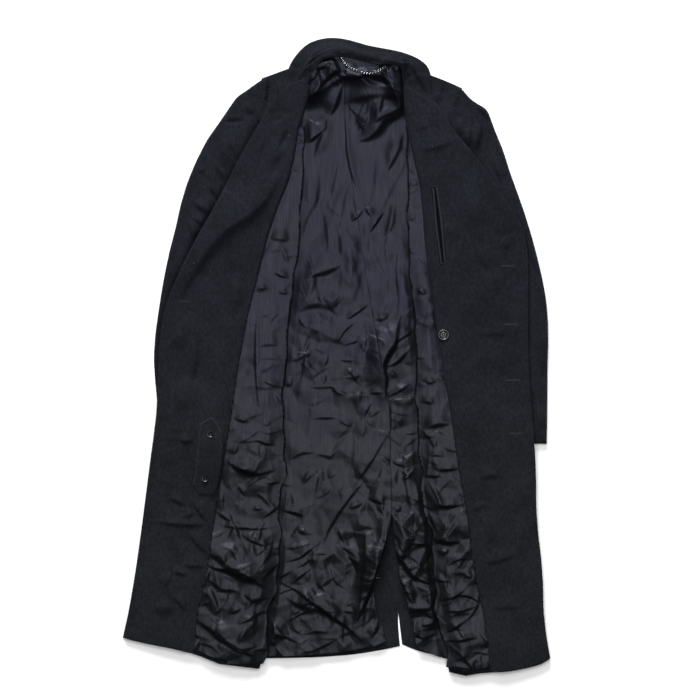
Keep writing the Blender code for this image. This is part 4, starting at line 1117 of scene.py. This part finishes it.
FACING_ROLLS = {
    "left": (
        (17.0, 15, 0.6, (-300, 80), (-284, 130), (-262, 170), (-236, 208), (-206, 240), (-166, 264),
         (-138, 288),
         (-114, 324), (-94, 360)),
        (13.0, 7, 0.72, (-244, -282), (-229, -254), (-218, -220), (-213, -180), (-214, -140), (-226, -120),
         (-246, -98)),
    ),
    "right": (),
}

for side, inner in (("left", 1), ("right", 0)):
    facing_node = "facing_" + side
    levels, across = slices(facing_node)
    facing_ring = eased(outline(levels, across), WOOL_SPACING)
    facing_cells = inside(facing_ring)
    soft = strewn_folds(STREWN_ON_FACING[side], facing_cells, **FACING_STREW)
    from_seam = distance_from(levels, across[:, inner])

    def facing_rise(x, y):
        free = np.clip(from_seam(x, y) / SEAM_FADE, 0, 1)
        folded = FACING_FOLD[side] * wool_folds(FACING_CREASES[side], x, y) + fold_heights(soft, x, y)
        loose = (folded + FACING_LOFT) * (SEAM_LEAST + (1 - SEAM_LEAST) * free)
        return loose + fold_heights(FACING_ROLLS[side], x, y)

    def facing_fall(x, y, z):
        down = np.maximum(z - sampled(below, x, y) - FACING_EDGE, FACING_EDGE)
        return np.where(from_seam(x, y) < 3 * FACING_ROLL, down, 0.5 * WOOL_THICKNESS)

    below = pile.copy()
    lay_cloth(facing_node + "_wool", WOOL, facing_ring, node_height(facing_node, facing_cells), facing_rise,
              "folded", ["front_" + side + "_wool"], facing_node, ease=FACING_EASE, roll=FACING_ROLL,
              fall=facing_fall)


# Collar: a band of the same wool with an undercollar, sewn round the neck and turned down on itself, so
# its top is a thick soft roll; its ends run into the lapels of the two facings.
COLLAR_CENTRE = np.array([41.0, 537.0])
COLLAR_FROM, COLLAR_TO = 194.5, -25.0
COLLAR_STEPS = 150
COLLAR_ACROSS = 26
COLLAR_REACH = 170.0
COLLAR_ROLL = 8.0
COLLAR_TURN = 9
COLLAR_UNDER = 0.7
COLLAR_EASE = math.radians(40)
COLLAR_RAISE = 9.0
COLLAR_SINK = 2.6
COLLAR_CLEAR = 0.8
COLLAR_LEAST = 2.5
COLLAR_FOOT = 0.4
COLLAR_CREASES = (
    (4.5, 3.2, 0.1, (10, 592), (-14, 584), (-42, 566), (-64, 534), (-86, 502), (-110, 468)),
    (-4.5, 3.0, 0.1, (116, 576), (133, 543), (144, 524), (157, 496), (186, 462)),
    (4.0, 4.0, 0.1, (126, 578), (142, 548), (154, 524), (168, 498), (196, 462)),
)


def collar_reach(angle):
    """How far from the neck's centre the collar's solid starts and ends, along one heading."""
    ahead = np.array([math.cos(angle), math.sin(angle)])
    across = np.array([-ahead[1], ahead[0]])
    triangles = corners("collar")
    start = triangles.reshape(-1, 3)[:, :2] - COLLAR_CENTRE
    stop = triangles[:, (1, 2, 0)].reshape(-1, 3)[:, :2] - COLLAR_CENTRE
    first, second = start @ across, stop @ across
    cut = (first <= 0) != (second <= 0)
    share = (first / np.where(cut, first - second, 1.0))[cut]
    reach = (start @ ahead)[cut] * (1 - share) + (stop @ ahead)[cut] * share
    reach = reach[reach > 0]
    return reach.min(), reach.max()


headings = np.radians(np.linspace(COLLAR_FROM, COLLAR_TO, COLLAR_STEPS))
reaches = smoothed(np.array([collar_reach(a) for a in headings]), 4)
collar_cells = np.hypot(place_x - COLLAR_CENTRE[0], place_y - COLLAR_CENTRE[1]) < COLLAR_REACH
collar_height = node_height("collar", collar_cells, 2)
highest = np.maximum.reduce([np.roll(pile, step, axis) for axis in (0, 1) for step in range(-4, 5)])
crest = np.sin(math.pi * np.linspace(0.15, 0.95, COLLAR_ACROSS)) ** 2
turn = np.linspace(0, math.pi, COLLAR_TURN)[1:]
collar_points = []
for angle, (near, far) in zip(headings, reaches):
    ahead = np.array([math.cos(angle), math.sin(angle)])
    shoulder_at = far - COLLAR_ROLL
    across = near + (shoulder_at - near) * np.linspace(0, 1, COLLAR_ACROSS)
    flat = COLLAR_CENTRE + across[:, None] * ahead
    ground = sampled(pile, *flat.T)
    covered = sampled(highest, *flat.T) * (across < 0.5 * (near + far))
    tops = np.maximum(sampled(collar_height, *flat.T), covered + COLLAR_CLEAR)
    apart = min(abs(angle - headings[0]), abs(angle - headings[-1]))
    meeting = smoothstep(np.clip(1 - apart / COLLAR_EASE, 0, 1))
    at_lapel = np.maximum(ground + COLLAR_CLEAR - COLLAR_SINK * meeting, COLLAR_LEAST)
    tops = (tops + COLLAR_RAISE * crest) * (1 - meeting) + at_lapel * meeting
    tops = tops + fold_heights(COLLAR_CREASES, *flat.T) * (1 - 0.6 * meeting ** 3)
    half = (tops[-1] - COLLAR_FOOT) / 2
    nose = COLLAR_CENTRE + (shoulder_at + COLLAR_ROLL * np.sin(turn))[:, None] * ahead
    under = shoulder_at - (shoulder_at - near) * COLLAR_UNDER * np.linspace(0, 1, 6)[1:]
    collar_points += [
        np.column_stack([flat, tops]),
        np.column_stack([nose, COLLAR_FOOT + half * (1 + np.cos(turn))]),
        np.column_stack([COLLAR_CENTRE + under[:, None] * ahead, np.full(len(under), COLLAR_FOOT)])]
collar_points = np.vstack(collar_points)
number = np.arange(len(collar_points)).reshape(COLLAR_STEPS, -1)
collar_faces = np.stack([number[1:, :-1], number[1:, 1:], number[:-1, 1:], number[:-1, :-1]], -1).reshape(-1, 4)
collar = new_piece("collar_wool", collar_points, collar_faces, wool)
thicken = collar.modifiers.new("cloth", "SOLIDIFY")
thicken.thickness = WOOL_THICKNESS * MM
thicken.offset = -1.0
fasten(collar, "navy_wool", "collar")


# Inside breast pocket: a slit in the right facing between two narrow jets of wool, and a bar tack across
# each end. The dark of the slit is a near-black sheet of painted shade, wider than the jets so that its edges
# paint thin shadow lines beside them.
POCKET_TOP = np.array([183.0, 316.0])
POCKET_FOOT = np.array([198.0, 177.0])
POCKET_POINTS = 36
POCKET_GAPE = 1.3
MOUTH_HALF = 7.0
MOUTH_HEIGHT = 0.3
JET_OFFSET = 3.7
JET_HALF = 2.1
JET_HEIGHT = 2.4
GAP_SHADE = "#07070a"
GAP_SHADE_DEEPEST = "#030304"
STRIP_SHARES = np.linspace(-1, 1, 9)


def tube_faces(rows, size):
    """The four-cornered faces of a tube of rings, all of one number of points."""
    here = np.arange(rows * size).reshape(rows, size)
    after = np.roll(here, -1, 1)
    return np.stack([here[:-1], here[1:], after[1:], after[:-1]], -1).reshape(-1, 4).tolist()


def rounded_strip(name, line, half_width, height, material, sink=0.6):
    """A narrow strip of turned cloth along a line, round on top and resting on the pile."""
    line = np.asarray(line, float)
    count = len(line)
    along = np.gradient(line, axis=0)
    along /= np.linalg.norm(along, axis=1)[:, None]
    across = half_width * np.column_stack([-along[:, 1], along[:, 0]])
    ground = sampled(pile, *line.T)
    ends = np.clip(np.minimum(np.arange(count), np.arange(count)[::-1]) / 1.5, 0.3, 1)
    rows = [np.column_stack([line + share * across, ground + height * ends * math.sqrt(1 - 0.96 * share ** 2)])
            for share in STRIP_SHARES]
    rows += [np.column_stack([line + share * across, ground - sink]) for share in (1, -1)]
    size = len(rows)
    faces = tube_faces(count, size) + [range(size), range((count - 1) * size, count * size)[::-1]]
    strip = new_piece(name, np.stack(rows, 1).reshape(-1, 3), faces, material)
    # The crown of the strip is marked as rim, so wool paints it paler: a painted highlight along the round top,
    # with rubbed wear.
    edges = np.tile(np.concatenate([np.abs(STRIP_SHARES) < 0.8, [0, 0]]).astype(float), count)
    strip.data.attributes.new("rim", "FLOAT", "POINT").data.foreach_set("value", edges)
    return strip


def mottled(name, dark, light, grain, shading, detail=2.0):
    """A plain material whose tone drifts between two colours in a fine grain, and so does its roughness
    where the shading gives that as a pair."""
    material, tree, place = new_material(name)
    noise = add_node(tree, "ShaderNodeTexNoise", {"Vector": place, "Scale": per_metre(grain), "Detail": detail})
    colour = add_node(tree, "ShaderNodeMix", {0: noise, 6: dark, 7: light}, data_type="RGBA")
    rough = shading["Roughness"]
    if isinstance(rough, tuple):
        rough = add_node(tree, "ShaderNodeMapRange", {
            "Value": noise, "From Min": 0.3, "From Max": 0.7, "To Min": rough[0], "To Max": rough[1]})
    shader = add_node(tree, "ShaderNodeBsdfPrincipled", {**shading, "Base Color": colour, "Roughness": rough})
    add_node(tree, "ShaderNodeOutputMaterial", {"Surface": shader})
    return material


# Painted shade: a matt near-black sheet for the dark in the pocket slit and the buttonholes, with only a faint
# mottle of thread showing.
gap_shade = mottled("black_painted_gap_shade", GAP_SHADE_DEEPEST, GAP_SHADE, 1.2,
                    {"Roughness": 0.95, "Specular IOR Level": 0.05})
pocket_share = np.linspace(0, 1, POCKET_POINTS)[:, None]
pocket_line = POCKET_TOP + (POCKET_FOOT - POCKET_TOP) * pocket_share
pocket_along = (POCKET_FOOT - POCKET_TOP) / np.linalg.norm(POCKET_FOOT - POCKET_TOP)
pocket_across = np.array([-pocket_along[1], pocket_along[0]])
# The mouth is a near-black sheet of painted shade, wider than the jets, whose edges paint thin shadow lines
# beside them.
fasten(rounded_strip("pocket_mouth_shade", pocket_line, MOUTH_HALF, MOUTH_HEIGHT, gap_shade), "grey_satin")
gape = POCKET_GAPE * np.sin(math.pi * pocket_share) ** 2
for node, offset in (("pocket_jet_outer", 1), ("pocket_jet_inner", -1)):
    jet_line = pocket_line + offset * (JET_OFFSET + gape) * pocket_across
    fasten(rounded_strip(node + "_wool", jet_line, JET_HALF, JET_HEIGHT, wool), "navy_wool", node)


# Stitching: sewn by machine in dark thread, as bar tacks at the pocket's ends, a row round the throat tab,
# and the close overlock of the keyhole buttonholes, four on the right facing and one on the left lapel.
THREAD = "#101014"
THREAD_SHEEN = "#212128"
THREAD_GRAIN = 0.8
TWIST = "#191a1f"
TWIST_SHEEN = "#3a3c43"
BUTTONHOLES = ((307, 331, 170), (313, 338, 61), (315, 341, -43), (322, 347, -142), (-277, -294, 104))
EYE_RADIUS = 2.2
LIP_HALF = 0.9
LIP_LIFT = 0.35
SLIT_HALF, SLIT_HEIGHT = 0.7, 0.35
PUPIL_HALF, PUPIL_HEIGHT = 1.5, 0.4
TACK_HALF = 6.0
TACK_PAST = 2.0
TACK_LIFT = 0.6


def along_a_line(name, spacing, sizes, made_of, add_copied):
    """Geometry nodes that set copies of one thing along a line, each turned to the line's run and then by
    itself. Their inputs are the spacing, the thing's sizes and its material."""
    tree = bpy.data.node_groups.new(name, "GeometryNodeTree")
    for label, kind in (("Geometry", "Geometry"), *((size, "Float") for size in (spacing, *sizes)),
                        (made_of, "Material")):
        tree.interface.new_socket(label, in_out="INPUT", socket_type="NodeSocket" + kind)
    tree.interface.new_socket("Geometry", in_out="OUTPUT", socket_type="NodeSocketGeometry")
    given = add_node(tree, "NodeGroupInput").outputs
    line = add_node(tree, "GeometryNodeMeshToCurve", {"Mesh": given["Geometry"]})
    even = add_node(tree, "GeometryNodeResampleCurve", {"Curve": line, "Length": given[spacing]}, mode="LENGTH")
    run = add_node(tree, "GeometryNodeInputTangent")
    ahead = add_node(tree, "FunctionNodeAlignRotationToVector", {"Vector": run}, axis="X")
    copied, turn = add_copied(tree, given)
    turned = add_node(tree, "FunctionNodeRotateRotation", {
        "Rotation": ahead, "Rotate By": turn}, rotation_space="LOCAL")
    copies = add_node(tree, "GeometryNodeInstanceOnPoints", {"Points": even, "Rotation": turned, **copied})
    real = add_node(tree, "GeometryNodeRealizeInstances", {"Geometry": copies})
    dressed = add_node(tree, "GeometryNodeSetMaterial", {"Geometry": real, "Material": given[made_of]})
    add_node(tree, "NodeGroupOutput", {0: dressed})
    return tree


def one_stitch(tree, given):
    """A stitch as a bead drawn out along its thread, and its turn from the line's run."""
    bead = add_node(tree, "GeometryNodeMeshUVSphere", {"Segments": 6, "Rings": 4, "Radius": 1.0})
    size = add_node(tree, "ShaderNodeCombineXYZ", {
        "X": given["Stitch Length"], "Y": given["Stitch Radius"], "Z": given["Stitch Radius"]})
    return {"Instance": bead, "Scale": size}, add_node(tree, "ShaderNodeCombineXYZ", {"Z": given["Turn"]})


def grown(name, tree, points, edges, values):
    """A plain mesh grown by a node tree from points and edges in millimetres."""
    seed_mesh = bpy.data.meshes.new(name + "_line")
    seed_mesh.from_pydata([tuple(p) for p in np.asarray(points) * MM], edges, [])
    seed = add_object(name + "_line", seed_mesh)
    grow = seed.modifiers.new("grow", "NODES")
    grow.node_group = tree
    sockets = {item.name: item.identifier for item in tree.interface.items_tree if item.in_out == "INPUT"}
    for label, value in values.items():
        grow[sockets[label]] = value
    bpy.context.view_layer.update()
    mesh = bpy.data.meshes.new_from_object(seed.evaluated_get(bpy.context.evaluated_depsgraph_get()))
    bpy.data.objects.remove(seed)
    mesh.name = name
    mesh.polygons.foreach_set("use_smooth", [True] * len(mesh.polygons))
    return add_object(name, mesh)


sewing = along_a_line("stitches_along_a_line", "Spacing", ("Stitch Length", "Stitch Radius", "Turn"), "Thread",
                      one_stitch)


def sew(name, slot, points, edges, thread, spacing, length, radius, turn):
    """Stitches along lines of points, fixed to the coat's body."""
    fasten(grown(name, sewing, points, edges, {
        "Spacing": spacing * MM, "Stitch Length": length * MM, "Stitch Radius": radius * MM, "Turn": turn,
        "Thread": thread}), slot)


def on_pile(flat, lift):
    """Points laid on what is below them."""
    flat = np.asarray(flat, float)
    return np.column_stack([flat, sampled(pile, *flat.T) + lift])


def chained(count, closed=False, first=0):
    """The edges that join a run of points in order."""
    edges = [(first + i, first + i + 1) for i in range(count - 1)]
    return edges + [(first + count - 1, first)] if closed else edges


# Spun polyester thread: fine twisted strands that catch a little light along each stitch.
sewing_thread = mottled("dark_sewing_thread", THREAD, THREAD_SHEEN, THREAD_GRAIN,
                        {"Roughness": 0.6, "Specular IOR Level": 0.15})
buttonhole_twist = mottled("grey_buttonhole_twist", TWIST, TWIST_SHEEN, THREAD_GRAIN,
                           {"Roughness": 0.5, "Specular IOR Level": 0.15})
round_eye = np.radians(np.linspace(155, -155, 14))
hole_points, hole_edges = [], []
for number, (start, stop, level) in enumerate(BUTTONHOLES, 1):
    eye_x = math.copysign(EYE_RADIUS, stop - start)
    eye = np.column_stack([stop - eye_x + eye_x * np.cos(round_eye), level + EYE_RADIUS * np.sin(round_eye)])
    upper_lip = np.column_stack([np.linspace(start, stop - 2.1 * eye_x, 10), np.full(10, level + LIP_HALF)])
    lower_lip = np.column_stack([upper_lip[::-1, 0], np.full(10, level - LIP_HALF)])
    path = on_pile(np.vstack([upper_lip, eye, lower_lip]), LIP_LIFT)
    hole_edges += chained(len(path), True, len(hole_points))
    hole_points += list(path)
    # The slit and the eye of each buttonhole are near-black strips of painted shade for the dark of the cut.
    slit_line = np.column_stack([np.linspace(start + 0.45 * eye_x, stop - eye_x, 12), np.full(12, level)])
    pupil_line = np.column_stack([np.linspace(stop - 1.8 * eye_x, stop - 0.3 * eye_x, 6), np.full(6, level)])
    slit = rounded_strip("buttonhole_slit_shade_%d" % number, slit_line, SLIT_HALF, SLIT_HEIGHT, gap_shade)
    pupil = rounded_strip("buttonhole_eye_shade_%d" % number, pupil_line, PUPIL_HALF, PUPIL_HEIGHT, gap_shade)
    fasten(slit, "navy_wool")
    fasten(pupil, "navy_wool")
sew("buttonhole_stitching", "navy_wool", hole_points, hole_edges, buttonhole_twist,
    spacing=0.9, length=1.1, radius=0.42, turn=math.pi / 2)

tack_points, tack_edges = [], []
for end in (POCKET_TOP - TACK_PAST * pocket_along, POCKET_FOOT + TACK_PAST * pocket_along):
    bar = [end - TACK_HALF * pocket_across, end, end + TACK_HALF * pocket_across]
    tack_edges += chained(len(bar), first=len(tack_points))
    tack_points += list(on_pile(bar, TACK_LIFT))
sew("pocket_bar_tacks", "navy_wool", tack_points, tack_edges, sewing_thread,
    spacing=0.8, length=1.6, radius=0.5, turn=math.pi / 2)


# Throat tab: a stiffened strap of doubled wool with cut corners, buttoned flat to the left facing.
# It stands a little proud along its right edge and has one row of stitching inside its edge.
TAB_SPACING = 2.5
TAB_WOOL = (wool, "navy_wool", 3.0, TAB_SPACING)
TAB_PROUD = 6.0
TAB_ROLL = 2.5
TAB_CORNER = 20.0
TAB_STITCH_INSET, TAB_STITCH_LIFT = 4.5, 0.1

tab_ring = eased(outline(*slices("throat_tab")), TAB_SPACING, corner=TAB_CORNER, rounds=1)
tab_left, tab_width = tab_ring[:, 0].min(), np.ptp(tab_ring[:, 0])


def tab_rise(x, y):
    return TAB_PROUD * ramp(x, tab_left, tab_width) ** 2


# Its edge is painted paler at full strength: rubbed wear and a painted highlight.
lay_cloth("throat_tab_wool", TAB_WOOL, tab_ring, node_height("throat_tab", inside(tab_ring), 1), tab_rise,
          "laid", ["facing_left_wool"], "throat_tab", ease=2, roll=TAB_ROLL, worn=1.0)
tab_middle = tab_ring.mean(0)
tab_half = np.ptp(tab_ring, axis=0) / 2
inset_ring = tab_middle + (tab_ring - tab_middle) * (1 - TAB_STITCH_INSET / tab_half)
sew("throat_tab_stitching", "navy_wool", on_pile(inset_ring, TAB_STITCH_LIFT), chained(len(inset_ring), True),
    sewing_thread, spacing=3.4, length=1.3, radius=0.45, turn=0.0)


# Buttons: four black four-hole buttons of polished polyester, turned with a raised rim round a dished
# middle and sewn on with crossed thread. The largest is on the right facing, two small ones are on the tab
# and one is at the vent, half under the lining.
BUTTON_PROFILE = (
    (0.0, 0.42), (0.20, 0.44), (0.29, 0.62), (0.42, 0.64), (0.50, 0.60), (0.57, 0.44), (0.66, 0.58),
    (0.76, 0.96), (0.88, 1.0), (0.96, 0.86), (1.0, 0.62), (0.97, 0.30), (0.86, 0.06), (0.0, 0.0))
SMALL_PROFILE = (
    (0.0, 0.10), (0.14, 0.14), (0.36, 0.44), (0.60, 0.80), (0.76, 0.98), (0.84, 1.0), (0.95, 0.84),
    (1.0, 0.6), (0.97, 0.30), (0.86, 0.06), (0.0, 0.0))
BUTTONS = (
    ("inside_button", 21.0, 15.0, BUTTON_PROFILE), ("tab_button_upper", 13.0, 40.0, SMALL_PROFILE),
    ("tab_button_lower", 13.0, 10.0, SMALL_PROFILE), ("vent_button", 13.0, 25.0, SMALL_PROFILE))
BUTTON_SIDES = 48
BUTTON_CLEAR = 0.2
BUTTON_DARK = "#08080a"
BUTTON_LIGHT = "#1a1a1f"
BUTTON_THREAD = "#141519"
BUTTON_THREAD_SHEEN = "#2c2d33"
HOLE_AT = 0.24
DISH_AT = 0.53
STRAND_POINTS = 7
STRAND_LIFT, STRAND_BOW = 0.25, 0.5
STRAND_RADIUS = 0.045

# Polished polyester resin: near black, a clear gloss with fine rubbed scratches.
resin = mottled("polished_button_resin", BUTTON_DARK, BUTTON_LIGHT, 5.0,
                {"Roughness": (0.2, 0.34), "IOR": 1.55}, detail=4.0)
button_thread = mottled("dark_button_thread", BUTTON_THREAD, BUTTON_THREAD_SHEEN, THREAD_GRAIN,
                        {"Roughness": 0.6, "Specular IOR Level": 0.15})
angles = np.radians(np.arange(BUTTON_SIDES) * 360 / BUTTON_SIDES)
unit_ring = np.column_stack([np.cos(angles), np.sin(angles)])
for button_node, diameter, turned, profile in BUTTONS:
    low, high = box_of(button_node)
    middle, height = (low + high)[:2] / 2, high[2] - low[2]
    ground = low[2]
    if button_node != "vent_button":
        ground = max(ground, sampled(pile, *middle[:, None])[0] + BUTTON_CLEAR)
    rings = [np.column_stack([middle + r * diameter / 2 * unit_ring,
                              np.full(BUTTON_SIDES, ground + h * height)]) for r, h in profile[1:-1]]
    vertices = np.vstack(rings + [[(*middle, ground + profile[0][1] * height)], [(*middle, ground)]])
    last = len(rings) * BUTTON_SIDES
    faces = tube_faces(len(rings), BUTTON_SIDES)
    for i, j in chained(BUTTON_SIDES, True):
        faces += [(last, i, j), (last + 1, last - BUTTON_SIDES + j, last - BUTTON_SIDES + i)]
    fasten(new_piece(button_node + "_resin", vertices, faces, resin), "black_button", button_node)
    hole_angles = np.radians(turned + 45 + 90 * np.arange(4))
    holes = middle + HOLE_AT * diameter * 0.5 * math.sqrt(2) * np.column_stack([
        np.cos(hole_angles), np.sin(hole_angles)])
    strands, edges = [], []
    for a, b in ((0, 1), (3, 2)):
        edges += chained(STRAND_POINTS, first=len(strands))
        for share in np.linspace(0, 1, STRAND_POINTS):
            lift = STRAND_LIFT + STRAND_BOW * math.sin(math.pi * share)
            strands.append((*(holes[a] * (1 - share) + holes[b] * share), ground + DISH_AT * height + lift))
    sew(button_node + "_thread", "black_button", strands, edges, button_thread,
        spacing=0.5, length=0.75, radius=STRAND_RADIUS * diameter, turn=0.5)


# Hanger: a curb chain of nickel-plated steel across the neck, its ends held by two small satin tabs
# sewn into the collar seam. It hangs slack over the lining.
CHAIN_ROUTE = ((9, 557), (14, 549), (25, 540), (40, 532), (54, 528), (68, 529), (80, 534), (90, 541))
CHAIN_POINTS = 60
LINK_LENGTH = 6.8
LINK_WIDTH = 3.6
LINK_WIRE = 0.42
LINK_STEP = 5.2
LINK_TILT = 72.0
LINK_SLANT = 52.0
CHAIN_TABS = {"chain_tab_left": ((6, 562), (12, 552)), "chain_tab_right": ((93, 546), (87, 537))}
CHAIN_TAB_HALF = 4.0
CHAIN_TAB_HEIGHT = 2.4
NICKEL_DULL = "#9c9da2"
NICKEL_BRIGHT = "#e2e3e8"


def curb_link(tree, given):
    """A curb link as a loop of wire, and the tilt and slant with which all links lie."""
    loop = add_node(tree, "GeometryNodeCurvePrimitiveCircle", {"Resolution": 12, "Radius": 0.5})
    shape = add_node(tree, "ShaderNodeCombineXYZ", {
        "X": given["Link Length"], "Y": given["Link Width"], "Z": 1.0})
    oval = add_node(tree, "GeometryNodeTransform", {"Geometry": loop, "Scale": shape})
    section = add_node(tree, "GeometryNodeCurvePrimitiveCircle", {
        "Resolution": 6, "Radius": given["Wire Radius"]})
    wire = add_node(tree, "GeometryNodeCurveToMesh", {"Curve": oval, "Profile Curve": section})
    return {"Instance": wire}, add_node(tree, "ShaderNodeCombineXYZ", {
        "X": given["Link Tilt"], "Z": given["Link Slant"]})


# Nickel-plated steel: bright and neutral, a little dulled in a fine mottle.
nickel = mottled("nickel_plated_steel", NICKEL_DULL, NICKEL_BRIGHT, 3.0,
                 {"Roughness": (0.34, 0.18), "Metallic": 1.0}, detail=3.0)
linking = along_a_line("curb_links_along_a_line", "Link Step", (
    "Link Length", "Link Width", "Wire Radius", "Link Tilt", "Link Slant"), "Metal", curb_link)
route = np.array(CHAIN_ROUTE, float)
route = smoothed(read_along(route, np.linspace(0, run_of(route)[-1], CHAIN_POINTS)), 6)
chain_line = on_pile(route, LINK_WIDTH / 2)
for _ in range(12):
    chain_line[1:-1, 2] = np.maximum(chain_line[1:-1, 2], (chain_line[:-2, 2] + chain_line[2:, 2]) / 2)
chain = grown("hanger_chain_links", linking, chain_line, chained(len(chain_line)), {
    "Link Step": LINK_STEP * MM, "Link Length": LINK_LENGTH * MM, "Link Width": LINK_WIDTH * MM,
    "Wire Radius": LINK_WIRE * MM, "Link Tilt": math.radians(LINK_TILT), "Link Slant": math.radians(LINK_SLANT),
    "Metal": nickel})
fasten(chain, "chain_steel", "hanger_chain")
for node, (start, stop) in CHAIN_TABS.items():
    tab_line = np.linspace(start, stop, 8)
    keeper = rounded_strip(node + "_satin", tab_line, CHAIN_TAB_HALF, CHAIN_TAB_HEIGHT, satin)
    fasten(keeper, "grey_satin", node)


# Floor, light and camera: a plain pale floor, soft light from the upper left with an even fill, and a
# camera straight above that sees the coat through a long lens.
FLOOR_HALF = 6000.0
FLOOR_LEVEL = -0.8
FLOOR_DARK = "#fbfbfb"
FLOOR_LIGHT = "#ffffff"
FILL_STRENGTH = 0.04
CAMERA_LENS = 180.0
CAMERA_SENSOR = 36.0
VIEW_WIDTH = 1.309
VIEW_CENTRE = (0.0247, 0.0138)

paper = mottled("white_paper", FLOOR_DARK, FLOOR_LIGHT, 4.0, {"Roughness": 0.9})
floor_corners = [(x * FLOOR_HALF, y * FLOOR_HALF, FLOOR_LEVEL) for x, y in ((-1, -1), (1, -1), (1, 1), (-1, 1))]
floor = new_piece("floor", floor_corners, [(0, 1, 2, 3)], paper)
floor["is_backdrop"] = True

world = bpy.data.worlds.new("studio")
bpy.context.scene.world = world
world.use_nodes = True
background = world.node_tree.nodes["Background"]
background.inputs["Color"].default_value = (1.0, 1.0, 1.0, 1.0)
background.inputs["Strength"].default_value = FILL_STRENGTH


def add_softbox(name, place, size, power):
    """A square soft light that is aimed at the middle of the coat."""
    light = bpy.data.lights.new(name, "AREA")
    light.shape = "RECTANGLE"
    light.size = light.size_y = size
    light.energy = power
    lamp = add_object(name, light)
    lamp.location = place
    lamp.rotation_mode = "QUATERNION"
    lamp.rotation_quaternion = (-Vector(place)).to_track_quat("-Z", "Y")


add_softbox("overhead_light", (0.15, 0.25, 3.2), 2.5, 95.0)
add_softbox("window_light", (-1.6, 8.2, 5.0), 4.5, 1350.0)

camera_data = bpy.data.cameras.new("camera")
camera_data.lens = CAMERA_LENS
camera_data.sensor_width = CAMERA_SENSOR
camera = add_object("camera", camera_data)
camera.location = (*VIEW_CENTRE, VIEW_WIDTH * CAMERA_LENS / CAMERA_SENSOR)
bpy.context.scene.camera = camera
bpy.context.scene.view_settings.view_transform = "Standard"

low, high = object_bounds()
